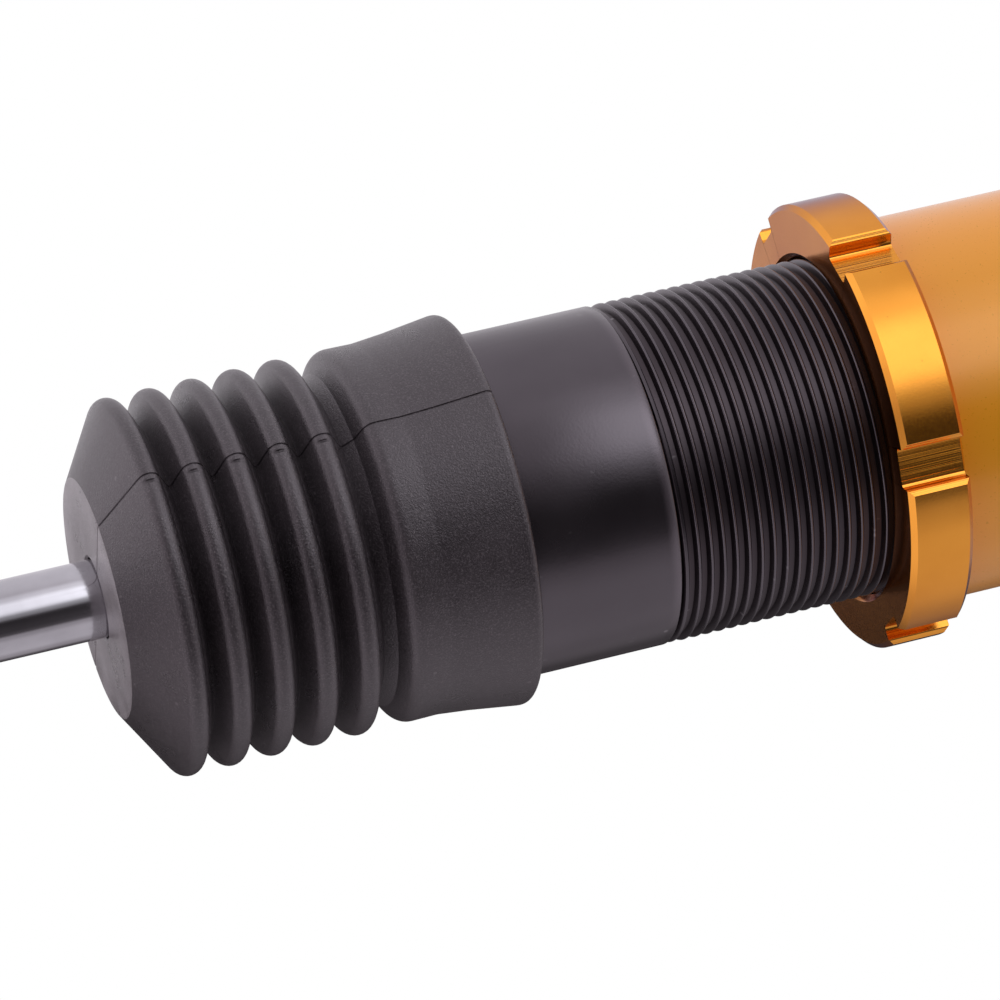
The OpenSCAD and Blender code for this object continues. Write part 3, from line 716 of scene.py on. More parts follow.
def mould_line(crest_end, groove, width=0.16, depth=0.11, share_down=0.16):
    """The fine step that the mould's inserts left on a fin's flank, a little below its crest."""
    flank = Vector(groove) - Vector(crest_end)
    inward = Vector((-flank.y, flank.x)).normalized() * -depth
    if inward.x > 0:
        inward.negate()
    at = Vector(crest_end) + flank * share_down
    step = flank.normalized() * width
    return [tuple(at - step), tuple(at + inward), tuple(at + step)]


def boot_outline():
    """(radius, depth below the nose) round the boot's section, from the rod hole out and back.

    Also the number of points on its outside, and which of them lie on the crests.
    """
    nose_edge = (NOSE_R, 0.0)
    outline = [
        (HOLE_R, HOLE_EDGE), (HOLE_R + HOLE_EDGE, 0.0), (NOSE_MIDWAY_R, 0.0), (NOSE_R - 0.3, 0.0),
        (NOSE_R, 0.12),
    ]
    crests = set()
    for i in range(FINS):
        crest_s = FIRST_CREST + i * FIN_PITCH
        before = nose_edge if i == 0 else (GROOVE_R, crest_s - FIN_PITCH / 2)
        after = (GROOVE_R, crest_s + FIN_PITCH / 2)
        fin = fin_points(crest_s, FIN_R, CREST_ROUND, before, after)
        # The middle five of a fin's eleven points
        crests.update(range(len(outline) + 3, len(outline) + 8))
        outline += fin + mould_line(fin[-1], after)
        groove_lip, groove_s = GROOVE_R + GROOVE_RISE, after[1]
        outline += [(groove_lip, groove_s - GROOVE_SIDE), after, (groove_lip, groove_s + GROOVE_SIDE)]
    outline.pop()
    collar_s = boot_length - COLLAR_LENGTH
    outline += rounded(
        [
            (GROOVE_R, collar_s - 3.2), (GROOVE_R + 1.2, collar_s - 1.9), (tube_r + 2.35, collar_s),
            (tube_r + 2.25, collar_s + 5.5), (tube_r + 2.75, collar_s + 10.5),
            (tube_r + 4.0, boot_length), (tube_r, boot_length),
        ],
        [0, 0.6, 2.6, 6.0, 6.0, 1.3, 0], steps=8, closed=False,
    )[1:]
    outside = len(outline)
    grip_s = boot_length - COLLAR_GRIP
    hollow_r = GROOVE_R - BOOT_WALL
    outline += [(tube_r + SLIP, boot_length), (tube_r + SLIP, grip_s), (hollow_r, grip_s)]
    for i in range(FINS - 1, 0, -1):
        crest_s = FIRST_CREST + i * FIN_PITCH
        outline += [(hollow_r, crest_s + FIN_PITCH / 2), (FIN_R - BOOT_WALL - 0.4, crest_s)]
    outline += [
        (hollow_r, FIRST_CREST + FIN_PITCH / 2), (hollow_r, NOSE_THICKNESS), (HOLE_R, NOSE_THICKNESS),
    ]
    return outline, outside, crests


outline_of_boot, outside, crests = boot_outline()
print("boot outline:", len(outline_of_boot), "points over", round(boot_length, 1), "mm")

# %% [markdown]
# The line itself is about 0.2 mm wide and as deep, which is what a mould's joint leaves. Beside it, each
# crest carries a small nick where the flash was trimmed.

# %% Boot skin with its parting line
PARTING_ANGLE = math.radians(-56.5)
# (distance from the line in millimetres along the skin, depth of the skin there in millimetres)
PARTING_CUT = [(-0.55, 0.0), (-0.2, 0.02), (-0.09, 0.2), (0.09, 0.2), (0.2, 0.02), (0.55, 0.0)]
NICK_CUT = [(-1.5, 0.0), (-1.32, 0.16), (-1.05, 0.18), (-0.9, 0.0)]
BOOT_SEGMENTS = 240
# Plain columns keep this many segments clear of a line
LINE_ROOM = 3.6


def outline_normals(outline):
    """The outward direction of a closed outline at each of its points."""
    normals = []
    for i, point in enumerate(outline):
        along = Vector(outline[(i + 1) % len(outline)]) - Vector(outline[i - 1])
        normals.append(Vector((along.y, -along.x)).normalized() if along.length else Vector((0, 0)))
    return normals


def boot_columns():
    """The boot's columns of points, with close columns at its two parting lines."""
    normals = outline_normals(outline_of_boot)
    columns = []
    gap = 2 * math.pi / BOOT_SEGMENTS
    for j in range(BOOT_SEGMENTS):
        theta = PARTING_ANGLE + j * gap
        line = round((theta - PARTING_ANGLE) / math.pi) * math.pi + PARTING_ANGLE
        if abs(theta - line) < gap / 2:
            for shift, depth in sorted(NICK_CUT + PARTING_CUT):
                columns.append((line, shift, depth, (shift, depth) in NICK_CUT))
        elif abs(theta - line) > LINE_ROOM * gap:
            columns.append((theta, 0.0, 0.0, False))
    made = []
    for theta, shift, depth, nick in columns:
        column = []
        for i, (r, s) in enumerate(outline_of_boot):
            cut = depth if 0 < i < outside and (not nick or i in crests) else 0.0
            inward = normals[i] * cut
            swing = shift / r
            if nick:
                # Near the hole the nick's columns stay between the line and the next plain column
                swing = max(swing, -gap * (3.5 + 0.25 * abs(shift)))
            column.append(polar(r - inward.x, theta + swing, boot_high - (s - inward.y)))
        made.append(column)
    return made


boot = skin("boot", boot_columns(), sharp=math.radians(40))
settle(boot, "boot", boot_rubber, "dust_boot", slot="boot_rubber")
cut_from = (boot_high - 0.3) * MM
# The nose face takes the paler rubber, a painted reflection
finish_faces(boot, nose_rubber_painted_reflection, [p for p in boot.data.polygons if p.center.z > cut_from])

# %% [markdown]
# ## A real thread
# The CAD part carries plain ridges, because nothing needs to wind there. A real thread climbs two
# millimetres a turn, starts where the tool met the plain tube, and has slightly rounded crests. The Screw
# modifier would wind a profile but leave both ends open and the start abrupt. Here the profile is swept
# as one long strip whose last row meets the next turn's first row, its height fades over one pitch at each
# end, and both ends are trimmed flat so that the plain tube can go on from them.

# %% Thread helper
# (share of the pitch, share of the thread's depth): root, flank, crest with rounded edges, flank
THREAD_FORM = [
    (0.0, 0.0), (0.2, 0.0), (0.37, 0.72), (0.405, 0.88), (0.45, 0.97), (0.5, 1.0), (0.55, 0.97),
    (0.595, 0.88), (0.63, 0.72), (0.8, 0.0),
]


def smooth_step(t):
    t = min(1.0, max(0.0, t))
    return t * t * (3 - 2 * t)


def wound_thread(crest_r, depth, pitch, low, high, segments, top_drop, turn_at=0.0):
    """A bmesh of a right-hand thread from low to high, open at both ends.

    Its crest drops by top_drop over the last pitch, and right down to its root over the first.
    """
    turns = math.ceil((high - low) / pitch) + 3
    start = low - 1.5 * pitch
    root = crest_r - depth
    bm = bmesh.new()
    rows = []
    for i in range(turns * segments + 1):
        theta = turn_at + 2 * math.pi * i / segments
        base = start + pitch * i / segments
        row = []
        for share, form in THREAD_FORM:
            z = base + share * pitch
            cap = crest_r - top_drop * smooth_step((z - high + pitch) / pitch)
            foot = root + depth * smooth_step((z - low) / pitch)
            row.append(bm.verts.new(polar(min(root + depth * form, cap, foot), theta, z)))
        rows.append(row)
    for i in range(len(rows) - 1):
        row, other = rows[i], rows[i + 1]
        for k in range(len(THREAD_FORM) - 1):
            bm.faces.new((row[k], other[k], other[k + 1], row[k + 1]))
        if i + 1 + segments < len(rows):
            bm.faces.new((row[-1], other[-1], rows[i + 1 + segments][0], rows[i + segments][0]))
    for z, keep_below in ((high, True), (low, False)):
        bmesh.ops.bisect_plane(
            bm, geom=bm.verts[:] + bm.edges[:] + bm.faces[:], dist=1e-5,
            plane_co=(0, 0, z), plane_no=(0, 0, 1),
            clear_outer=keep_below, clear_inner=not keep_below,
        )
    bmesh.ops.remove_doubles(bm, verts=bm.verts, dist=1e-4)
    return bm


def carry_on(bm, z_edge, steps):
    """Carries the thread's round edge at z_edge on through (radius, z) steps."""
    rim = [e for e in bm.edges if e.is_boundary and all(abs(v.co.z - z_edge) < 1e-3 for v in e.verts)]
    for r, z in steps:
        grown = bmesh.ops.extrude_edge_only(bm, edges=rim)["geom"]
        for v in (g for g in grown if isinstance(g, bmesh.types.BMVert)):
            flat = Vector((v.co.x, v.co.y, 0)).normalized() * r
            v.co = (flat.x, flat.y, z)
        rim = [g for g in grown if isinstance(g, bmesh.types.BMEdge) and g.is_boundary
               and all(abs(v.co.z - z) < 1e-4 for v in g.verts)]
    return rim


def finish_thread(name, bm, rims, sharp):
    """Closes the thread at each of the rims and makes the object."""
    for rim in rims:
        bmesh.ops.edgeloop_fill(bm, edges=rim)
    bmesh.ops.recalc_face_normals(bm, faces=bm.faces)
    mesh = bpy.data.meshes.new(name)
    bm.to_mesh(mesh)
    bm.free()
    return mesh_object(name, mesh, sharp=sharp)


# %% Body tube
THREAD_PITCH = 2.0
THREAD_DEPTH = 1.05
THREAD_TURNS = 55
THREAD_START = math.radians(20)
CREST_DROP = 0.3
PLAIN_LENGTH = 40.5
THREAD_TOP = tube_top - PLAIN_LENGTH
TUBE_BORE_R = radius_of("tube_base")
thread_low = THREAD_TOP - THREAD_TURNS * THREAD_PITCH
root_r = tube_r - THREAD_DEPTH

tube_thread = wound_thread(
    tube_r, THREAD_DEPTH, THREAD_PITCH, thread_low, THREAD_TOP, 160, CREST_DROP, THREAD_START,
)
upper_rim = carry_on(
    tube_thread, THREAD_TOP,
    [(tube_r - 0.22, THREAD_TOP + 0.01), (tube_r, THREAD_TOP + 0.25), (tube_r, THREAD_TOP + 2),
     (tube_r, tube_top - 1), (tube_r - 1, tube_top), (TUBE_BORE_R, tube_top)],
)
lower_rim = carry_on(
    tube_thread, thread_low,
    [(root_r - 0.1, thread_low - 0.3), (root_r - 0.1, tube_bottom + 1), (root_r - 1.1, tube_bottom),
     (TUBE_BORE_R, tube_bottom)],
)
bmesh.ops.bridge_loops(tube_thread, edges=upper_rim + lower_rim)
body_tube = finish_thread("body_tube", tube_thread, [], math.radians(50))
settle(body_tube, "damper_body", body_black, "damper_tube", slot="body_black")

# %% [markdown]
# ## The lock ring
# The ring is turned from bar, chamfered, and then slotted for a hook spanner. A Boolean could cut six
# slots out of a turned ring, but it leaves long thin triangles that spoil the shine. Instead the ring's
# outer edge is drawn once round as columns, each with its own radius: the lobes, the small chamfers at a
# slot's lips, its straight walls, its round corners and its flat floor. The lathe chamfer is a limit on the
# radius at the ring's two faces, so it dies away in the slots just as on the real ring. The slots' faces
# get the milled finish, whose marks run along the ring's axis, and the rest keeps the turned one.

# %% Lock ring
RING_R = radius_of("lock_ring")
ring_low, ring_high = span_z("lock_ring")
NOTCHES = 6
NOTCH_PHASE = math.radians(15)
NOTCH_HALF = 3.2
NOTCH_DEPTH = 3.0
EDGE_CHAMFER = 0.8
BORE_CHAMFER = 1.0
FACE_BAND = 1.6
LOBE_STEPS = 36
ring_bore = tube_r + SLIP


def notch_edge():
    """(outward, sideways) points from one lip of a notch over its floor to the other."""
    floor_r = RING_R - NOTCH_DEPTH
    lip = (math.sqrt(RING_R**2 - (NOTCH_HALF + EDGE_CHAMFER) ** 2), NOTCH_HALF + EDGE_CHAMFER)
    half = rounded(
        [lip, (RING_R - EDGE_CHAMFER, NOTCH_HALF), (floor_r, NOTCH_HALF), (floor_r, 0.0)],
        [0, 0.3, 1.9, 0], steps=7, closed=False,
    )
    return [(x, -y) for x, y in half] + [(x, y) for x, y in reversed(half[:-1])]


def ring_edge():
    """(radius, angle) once round the ring's outer edge."""
    edge = []
    step = 2 * math.pi / NOTCHES
    lip_angle = math.asin((NOTCH_HALF + EDGE_CHAMFER) / RING_R)
    lobe = step - 2 * lip_angle
    for i in range(NOTCHES):
        middle = NOTCH_PHASE + i * step
        edge += [(math.hypot(x, y), middle + math.atan2(y, x)) for x, y in notch_edge()]
        edge += [(RING_R, middle + lip_angle + lobe * k / LOBE_STEPS) for k in range(1, LOBE_STEPS)]
    return edge


def ring_columns():
    """One closed column of points for each point of the ring's edge."""
    columns = []
    face_r = RING_R - EDGE_CHAMFER
    half = (ring_high - ring_low) / 2
    middle_z = (ring_high + ring_low) / 2
    for r, theta in ring_edge():
        rim = min(r, face_r)
        chamfer = min(EDGE_CHAMFER, max(0.05, r - face_r))
        above = [
            (r, half - chamfer), (rim, half), (rim - FACE_BAND, half), (ring_bore + BORE_CHAMFER, half),
            (ring_bore, half - BORE_CHAMFER),
        ]
        below = [(rr, -z) for rr, z in reversed(above)]
        columns.append([polar(rr, theta, middle_z + z) for rr, z in below + above])
    return columns


ring = skin("spanner_ring", ring_columns(), sharp=math.radians(25))
settle(ring, "ring", gold_turned, "lock_ring", slot="gold_ring")
upright = [p for p in ring.data.polygons if abs(p.normal.z) < 0.3]
in_slots = [p for p in upright if ring_bore + 2 < p.center.xy.length / MM < RING_R - 0.2]
finish_faces(ring, gold_milled, in_slots)

# %% [markdown]
# ## Lower housing, plug and eye
# The housing is drawn tube, turned true and chamfered at its mouth. Its lower end is closed by a plug, and
# the eye ring is welded across the plug. The welds are beads of many small overlapping drops, so each
# bead is a tube swept along the seam whose thickness ripples.

# %% Housing
sleeve_low, sleeve_high = span_z("outer_sleeve")
sleeve_r = radius_of("outer_sleeve")
SLEEVE_WALL = 3.0
SLEEVE_CHAMFER = 0.8
THREADED_MOUTH = 40.0
sleeve_bore = sleeve_r - SLEEVE_WALL
mouth_r = tube_r + SLIP
housing_outline = rounded(
    [
        (sleeve_bore, sleeve_low), (sleeve_r - SLEEVE_CHAMFER, sleeve_low),
        (sleeve_r, sleeve_low + SLEEVE_CHAMFER), (sleeve_r, sleeve_high - SLEEVE_CHAMFER),
        (sleeve_r - SLEEVE_CHAMFER, sleeve_high), (mouth_r + SLEEVE_CHAMFER, sleeve_high),
        (mouth_r, sleeve_high - SLEEVE_CHAMFER), (mouth_r, sleeve_high - THREADED_MOUTH),
        (sleeve_bore, sleeve_high - THREADED_MOUTH - 1),
    ],
    0.25, steps=3,
)
housing = turned("lower_housing", housing_outline, 256)
settle(housing, "lower_mount", gold_coat, "outer_sleeve", slot="gold_housing")

# %% Eye and plug
EYE_R = radius_of("eye_ring")
EYE_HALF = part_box("eye_ring")[1].y / MM
SHELL_R = radius_of("bush_shell")


def plain_ring(inner_r, outer_r, low, high, corner):
    """The outline of a ring with rounded corners."""
    return rounded([(inner_r, low), (outer_r, low), (outer_r, high), (inner_r, high)], corner)


def bolt_ring(name, outer_r, inner_r, half, corner):
    """A plain ring that lies round the bolt."""
    return turned(name, plain_ring(inner_r, outer_r, -half, half, corner), 128, ALONG_BOLT)


eye = bolt_ring("eye", EYE_R, SHELL_R, EYE_HALF, 1.0)
settle(eye, "lower_mount", gold_coat_eye, "eye_ring", slot="gold_housing")


def finish_cad(node, finish):
    """Gives a CAD part that keeps its own shape its finish."""
    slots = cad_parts[node].data.materials
    slots.clear()
    slots.append(finish)


finish_cad("base_plug", gold_coat)


# %% Weld beads
BEAD_HEIGHT = 0.75
BETWEEN_DROPS = 0.82
NECK_R = 18.0


def weld_bead(name, path, width, drops, segments=10):
    """A bead of overlapping drops along a closed path of points, given as (point, outward) pairs."""
    columns = []
    count = len(path)
    for i, (point, outward) in enumerate(path):
        along = (Vector(path[(i + 1) % count][0]) - Vector(path[i - 1][0])).normalized()
        outward = Vector(outward).normalized()
        across = along.cross(outward)
        phase = (i * drops / count) % 1.0
        drop = math.sqrt(max(0.0, 1 - (2 * phase - 1) ** 2))
        size = width * (BETWEEN_DROPS + (1 - BETWEEN_DROPS) * drop)
        column = []
        for k in range(segments):
            a = 2 * math.pi * k / segments
            towards = outward * math.sin(a) * BEAD_HEIGHT + across * math.cos(a)
            column.append(Vector(point) + towards * size)
        columns.append(column)
    return skin(name, columns, sharp=math.radians(60))


def neck_seam(neck_r, steps=288):
    """Where the plug's round neck meets the eye ring."""
    path = []
    for i in range(steps):
        a = 2 * math.pi * i / steps
        x, y = neck_r * math.cos(a), neck_r * math.sin(a)
        z = math.sqrt(EYE_R**2 - x * x)
        path.append(((x, y, z), (math.cos(a) + x / EYE_R, math.sin(a), 0.4)))
    return path


def sleeve_seam(r, z, steps=432):
    """Round the foot of the housing."""
    circle = [2 * math.pi * i / steps for i in range(steps)]
    return [(polar(r, a, z), (math.cos(a), math.sin(a), -0.6)) for a in circle]


neck_weld = weld_bead("neck_weld", neck_seam(NECK_R - 0.3), width=2.1, drops=44)
settle(neck_weld, "lower_mount", gold_coat)
foot_seam = sleeve_seam(sleeve_r - 1.7, sleeve_low - 0.3)
sleeve_weld = weld_bead("sleeve_weld", foot_seam, width=1.3, drops=84)
settle(sleeve_weld, "lower_mount", gold_coat)

# %% [markdown]
# ## The lower bush
# A steel shell is pressed into the eye, and rubber is bonded between it and an inner sleeve. The rubber's
# ends are dished, with a rounded lip at each metal. The sleeve's ends are knurled with fine radial teeth
# so that the bolt can clamp it without slipping. A bump could fake the teeth, but they break the sleeve's
# outline, so they are real: of every four columns of the sleeve, two end a little lower. The bush lies
# across the damper, so its pieces are turned upright and then laid along the bolt.

# %% Lower bush
BUSH_SLEEVE_R = radius_of("bush_sleeve")
SLEEVE_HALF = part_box("bush_sleeve")[1].y / MM
BOLT_BORE_R = 6.1
RUBBER_R = SHELL_R - 1.5
TEETH = 36
TOOTH_DEPTH = 0.35

shell = bolt_ring("bush_outer_shell", SHELL_R - 0.02, RUBBER_R, EYE_HALF, 0.3)
settle(shell, "lower_mount", bare_steel_bolt, "bush_shell", slot="inner_steel")

lip = EYE_HALF + 2
rubber_end = [
    (BUSH_SLEEVE_R + SLIP, lip - 0.4), (BUSH_SLEEVE_R + 0.5, lip), (BUSH_SLEEVE_R + 1.4, lip - 0.5),
    (BUSH_SLEEVE_R + 2.6, lip - 2.6), (RUBBER_R - 1.6, lip - 3.4), (RUBBER_R - 0.7, lip - 2.2),
    (RUBBER_R - SLIP, lip - 2.4),
]
rubber_outline = rounded(mirrored(rubber_end), 0.5)
lower_rubber = turned("lower_bush_rubber", rubber_outline, 128, ALONG_BOLT, math.radians(60))
settle(lower_rubber, "lower_mount", bush_rubber, "bush_rubber", slot="bush_black")


def toothed_sleeve():
    """The inner sleeve, with fine teeth on both ends."""
    columns = []
    steps = TEETH * 4
    for j in range(steps):
        theta = 2 * math.pi * j / steps
        half = SLEEVE_HALF - (TOOTH_DEPTH if j % 4 in (1, 2) else 0.0)
        outline = [
            (BOLT_BORE_R, -half + 0.3), (BOLT_BORE_R + 0.3, -half), (BUSH_SLEEVE_R - 0.5, -half),
            (BUSH_SLEEVE_R, -half + 0.5), (BUSH_SLEEVE_R, half - 0.5), (BUSH_SLEEVE_R - 0.5, half),
            (BOLT_BORE_R + 0.3, half), (BOLT_BORE_R, half - 0.3),
        ]
        columns.append([polar(r, theta, z) for r, z in outline])
    return columns


inner_sleeve = skin("bush_inner_sleeve", toothed_sleeve(), place=ALONG_BOLT)
settle(inner_sleeve, "lower_pivot", zinc_bolt, "bush_sleeve", slot="zinc_steel")

# %% [markdown]
# ## The rod
# The rod is ground and hard chromed, with a slim chamfer at its shoulder. Its stem above the shoulder
# carries a real fine thread and ends in a round socket, for a key that holds it while the nut is turned.
# One skin could not hold both, because the thread's rows climb and the bar's don't. So a turned bar and a
# threaded stem are made as two closed shapes and then joined into one piece.

# %% Rod
rod_low, rod_high = span_z("piston_rod")
rod_r = radius_of("piston_rod")
washer_low, washer_high = span_z("bump_washer")
spacer_low, spacer_high = span_z("top_spacer")
STEM_R = 5.0
STEM_PITCH = 1.25
STEM_DEPTH = 0.7
SPIGOT_R = 4.0
SOCKET_KEY = 5.0
ROD_CHAMFER = 0.6
backing_top = span_z("backing_washer")[1]
rod_bar = turned(
    "rod_bar",
    rounded(
        [
            (0, rod_low), (SPIGOT_R - ROD_CHAMFER, rod_low), (SPIGOT_R, rod_low + ROD_CHAMFER),
            (SPIGOT_R, backing_top), (rod_r - ROD_CHAMFER, backing_top), (rod_r, backing_top + ROD_CHAMFER),
            (rod_r, washer_low - ROD_CHAMFER), (rod_r - ROD_CHAMFER, washer_low), (STEM_R, washer_low),
            (STEM_R, spacer_high), (STEM_R - STEM_DEPTH, spacer_high + 0.5), (0, spacer_high + 0.5),
        ],
        [0, 0.1, 0.1, 0, 0.1, 0.15, 0.15, 0.1, 0, 0, 0, 0], closed=False,
    ),
    128,
)
stem_low, stem_high = spacer_high + 0.2, rod_high - 0.8
stem_thread = wound_thread(STEM_R, STEM_DEPTH, STEM_PITCH, stem_low, stem_high, 48, STEM_DEPTH)
socket_r = SOCKET_KEY / math.sqrt(3)
top_rim = carry_on(
    stem_thread, stem_high,
    [(STEM_R - 0.75, rod_high - 0.7), (STEM_R - 1.2, rod_high), (socket_r, rod_high),
     (socket_r, rod_high - 6)],
)
low_rim = carry_on(stem_thread, stem_low, [(STEM_R - 1.0, spacer_high + 0.1)])
stem = finish_thread("rod_stem", stem_thread, [top_rim, low_rim], math.radians(40))
chrome_rod = join("chrome_rod", [rod_bar, stem])
settle(chrome_rod, "rod", chrome, "piston_rod", slot="rod_chrome")

# %% [markdown]
# ## Top mount
# The rod ends in a rubber mount: a pressed cup with an oval flange and two studs, rubber bonded inside the
# cup, and a steel spacer through the middle that the nut clamps between two washers. The dished bump
# washer under it is what meets the boot's nose at full travel. Primitive cylinders would do for the washers
# and the spacer, but their edges would be knife sharp, so each is turned from a rounded outline. The
# rubber's outline is drawn as its upper half and mirrored.

# %% Top mount: washers, spacer and rubber
on_stem = STEM_R + SLIP
top_low, top_high = span_z("top_washer")
bump_r = radius_of("bump_washer")
bump_outline = rounded(
    [
        (on_stem, washer_low), (bump_r - 2, washer_low), (bump_r, washer_low + 1.5), (bump_r, washer_high),
        (bump_r - 1.5, washer_high), (bump_r - 3, spacer_low), (on_stem, spacer_low),
    ],
    [0.1, 1.5, 1.5, 0.5, 0.6, 1.2, 0.1],
)
bump_plate = turned("bump_plate", bump_outline, 160)
settle(bump_plate, "rod", mount_black, "bump_washer", slot="mount_black")

spacer_r = radius_of("top_spacer")
spacer = turned("mount_spacer", plain_ring(on_stem, spacer_r, spacer_low, spacer_high, 0.3), 96)
settle(spacer, "rod", zinc, "top_spacer", slot="zinc_steel")

washer_outline = plain_ring(on_stem, radius_of("top_washer"), top_low, top_high, [0.2, 0.5, 0.9, 0.2])
cap_washer = turned("cap_washer", washer_outline, 128)
settle(cap_washer, "rod", zinc, "top_washer", slot="zinc_steel")

cup_low, cup_high = span_z("top_rubber")
cup_bore = radius_of("top_rubber")
mount_middle = (spacer_low + spacer_high) / 2
lift = (cup_high - cup_low) / 2
MOUNT_TILT = math.radians(5)
# The bore opens towards both ends, so that the spacer keeps clear of it when the mount tilts
tilt_r = spacer_r + lift * math.tan(MOUNT_TILT) + 0.25
upper_half = [
    (spacer_r + 0.2, 0.3), (tilt_r, lift - 0.6), (tilt_r + 0.5, lift), (spacer_r + 3.5, lift),
    (spacer_r + 6.5, lift - 0.6), (cup_bore - 3.2, lift - 4.8), (cup_bore - 0.8, lift - 4.6),
    (cup_bore - SLIP, lift - 5.0),
]
mount_outline = [(r, mount_middle + z) for r, z in rounded(mirrored(upper_half), 0.7)]
mount_rubber = turned("mount_rubber", mount_outline, 128, sharp=math.radians(60))
settle(mount_rubber, "top_mount", bush_rubber, "top_rubber", slot="bush_black")

# %% [markdown]
# The plate is pressed from sheet, so its edges are soft and the cup grows out of the flange through a
# fillet. The flange's outline is four arcs, one at each stud and one at each side, joined by straight
# lines. Each column of points runs from the cup's bore out to that outline, over the edge and back
# underneath, so one skin makes cup and flange.

# %% Top mount: plate
plate_low, plate_high = span_z("top_plate")
CUP_WALL = 2.5
FLANGE_T = 4.0
STUD_X = 37.0
END_R = 13.0
MID_R = cup_bore + CUP_WALL + 4.0
flange_low, flange_top = mount_middle, mount_middle + FLANGE_T


def plate_reach(theta):
    """How far the flange reaches from the middle at an angle: the outermost of its arcs and lines."""
    c, s = abs(math.cos(theta)), abs(math.sin(theta))
    reach = MID_R
    under = END_R**2 - (STUD_X * s) ** 2
    if under > 0:
        reach = max(reach, STUD_X * c + math.sqrt(under))
    # The line that touches the middle arc and the end arc: its normal leans by this angle from +Y
    lean = math.asin((MID_R - END_R) / STUD_X)
    facing = c * math.sin(lean) + s * math.cos(lean)
    along = c * math.cos(lean) - s * math.sin(lean)
    if facing > 0:
        hit = MID_R / facing
        if 0 <= hit * along <= STUD_X * math.cos(lean):
            reach = max(reach, hit)
    return reach


def plate_columns(segments=288):
    """The plate's columns: cup wall, fillets, flange and edge."""
    cup_r = cup_bore + CUP_WALL
    columns = []
    for j in range(segments):
        theta = 2 * math.pi * j / segments
        reach = plate_reach(theta)
        outline = rounded(
            [
                (cup_bore, plate_low), (cup_r, plate_low), (cup_r, flange_low), (reach, flange_low),
                (reach, flange_top), (cup_r, flange_top), (cup_r, plate_high), (cup_bore, plate_high),
            ],
            [0.8, 0.8, 1.5, 1.2, 1.2, 1.5, 0.8, 0.8],
        )
        columns.append([polar(r, theta, z) for r, z in outline])
    return columns


plate = skin("mount_plate", plate_columns(), sharp=math.radians(35))
settle(plate, "top_mount", mount_black, "top_plate", slot="mount_black")

# %% [markdown]
# The studs and the lock nut are bought fasteners. Each stud has a real thread, made by the same helper as
# the rod's stem, and its neck and head are carried on from the thread's last turn. The nut is a skin whose
# columns reach out to a hexagon. A six-sided cylinder would miss the round chamfer that every nut has at
# its corners, so each column is also cut back there by a 30 degree cone.

# %% Top mount: studs
STUD_R = 4.0
STUD_PITCH = 1.25
STUD_DEPTH = 0.68
HEAD_R = 7.0
NECK_OVER = 0.3
stud_low, stud_high = span_z("top_studs")


def threaded_stud(name, x):
    """A stud with a head below the flange, a neck in it, a real thread and a chamfered tip."""
    low, high = flange_top + 2, stud_high - 1.0
    bm = wound_thread(STUD_R, STUD_DEPTH, STUD_PITCH, low, high, 40, STUD_DEPTH)
    tip = carry_on(bm, high, [(STUD_R - 0.7, high + 0.1), (STUD_R - 1.3, stud_high)])
    foot = carry_on(
        bm, low,
        [(STUD_R - 0.65, low - 0.1), (STUD_R - 0.1, flange_top + 1.2), (STUD_R - 0.1, flange_top),
         (STUD_R + NECK_OVER, flange_top), (STUD_R + NECK_OVER, flange_low), (HEAD_R - 0.4, flange_low),
         (HEAD_R, flange_low - 0.4), (HEAD_R, stud_low + 0.5), (HEAD_R - 0.5, stud_low)],
    )
    bmesh.ops.translate(bm, verts=bm.verts, vec=(x, 0, 0))
    return finish_thread(name, bm, [tip, foot], math.radians(40))


studs = join("mount_studs", [threaded_stud("stud_left", -STUD_X), threaded_stud("stud_right", STUD_X)])
settle(studs, "top_mount", zinc, "top_studs", slot="zinc_steel")

# %% Top mount: lock nut
NUT_FLATS = 17.0
NUT_COLLAR_R = 7.4
NUT_COLLAR = 3.0
INSERT_WALL = 1.3
NUT_STEPS = 20
NUT_FACE = 0.97
nut_low, nut_high = span_z("stem_nut")


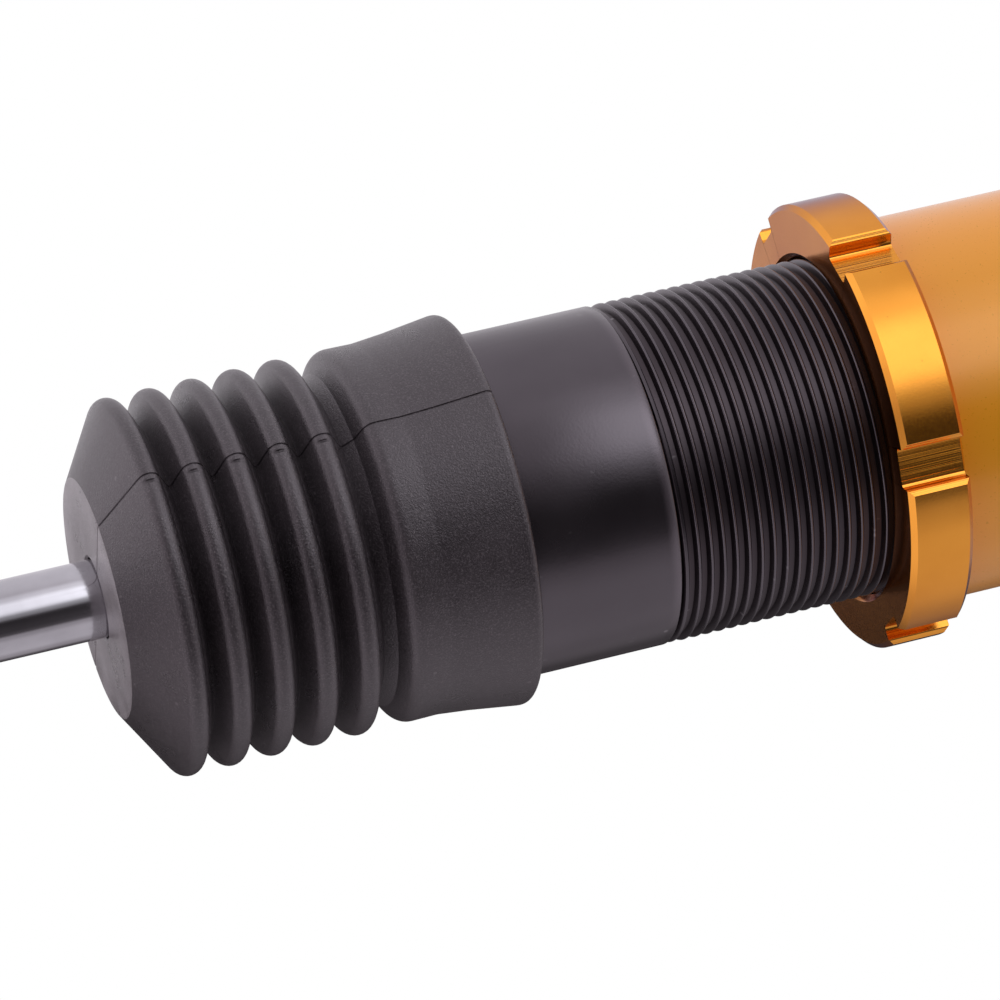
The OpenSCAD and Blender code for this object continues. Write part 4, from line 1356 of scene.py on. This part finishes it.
def nut_columns():
    """A chamfered hexagon on the stem, with a round collar on top that is open for the plastic insert."""
    columns = []
    flat_r = NUT_FLATS / 2
    face_r = flat_r * NUT_FACE
    corner_limit = 2 * flat_r / math.sqrt(3) - 0.15
    hex_high = nut_high - NUT_COLLAR
    for j in range(6 * NUT_STEPS):
        theta = 2 * math.pi * j / (6 * NUT_STEPS)
        inside = (theta + math.radians(30)) % math.radians(60) - math.radians(30)
        corner = min(flat_r / math.cos(math.radians(30) - abs(inside)), corner_limit)
        drop = max(0.02, (corner - flat_r) * math.tan(math.radians(30)))
        outline = [
            (STEM_R, nut_low), (face_r, nut_low), (corner, nut_low + drop), (corner, hex_high - drop),
            (face_r, hex_high), (NUT_COLLAR_R, hex_high + 0.01), (NUT_COLLAR_R, nut_high - 0.6),
            (NUT_COLLAR_R - 0.6, nut_high), (STEM_R + INSERT_WALL, nut_high),
            (STEM_R + INSERT_WALL, hex_high), (STEM_R, hex_high),
        ]
        columns.append([polar(r, theta, z) for r, z in outline])
    return columns


lock_nut = skin("lock_nut", nut_columns(), sharp=math.radians(25))
settle(lock_nut, "rod", zinc, "stem_nut", slot="zinc_steel")

# %% [markdown]
# ## Inside the tubes
# Nobody sees the valve parts unless the damper is opened. They could be made again like the outer pieces,
# but their CAD shapes are already right, so they keep them and only get their finishes, from one table.

# %% Inner parts
INNER_FINISHES = {
    "tube_base": body_black, "pressure_tube": bare_steel, "foot_valve_body": bare_steel,
    "foot_valve_discs": bare_steel, "foot_valve_pin": bare_steel, "rod_guide": bare_steel,
    "guide_bush": bronze, "guide_oring": bush_rubber, "rod_seal": seal_rubber, "seal_garter": bare_steel,
    "gland_nut": zinc, "rebound_stop": bare_steel, "rebound_bumper": slide_plastic,
    "backing_washer": bare_steel, "compression_discs": bare_steel, "piston": bare_steel,
    "piston_band": slide_plastic, "rebound_discs": bare_steel, "piston_nut": zinc, "nut_insert": nylon,
}
for node, finish in INNER_FINISHES.items():
    finish_cad(node, finish)
print("inner parts finished:", len(INNER_FINISHES))

# %% [markdown]
# ## Floor
# A pale disc under the eye gives the damper something to stand on in the wide views. A floor without an
# edge would hide half of the studio that the long parts mirror, so it is kept small.

# %% Floor
FLOOR_R = 260.0
FLOOR_T = 4.0
floor_z = span_z("eye_ring")[0]
floor_outline = [
    (0, floor_z - FLOOR_T), (FLOOR_R - 2, floor_z - FLOOR_T), (FLOOR_R, floor_z - FLOOR_T / 2),
    (FLOOR_R - 1, floor_z), (0, floor_z),
]
floor = turned("floor", floor_outline, 128)
pale, tree, shader = new_finish("floor_paper")
tone = noise(tree, own_coordinates(tree), 6, 2)
link(tree, varied(tree, tone, (0.84, 0.87, 0.85), (0.8, 0.83, 0.81)), shader.inputs["Base Color"])
shader.inputs["Roughness"].default_value = 0.9
floor.data.materials.append(pale)
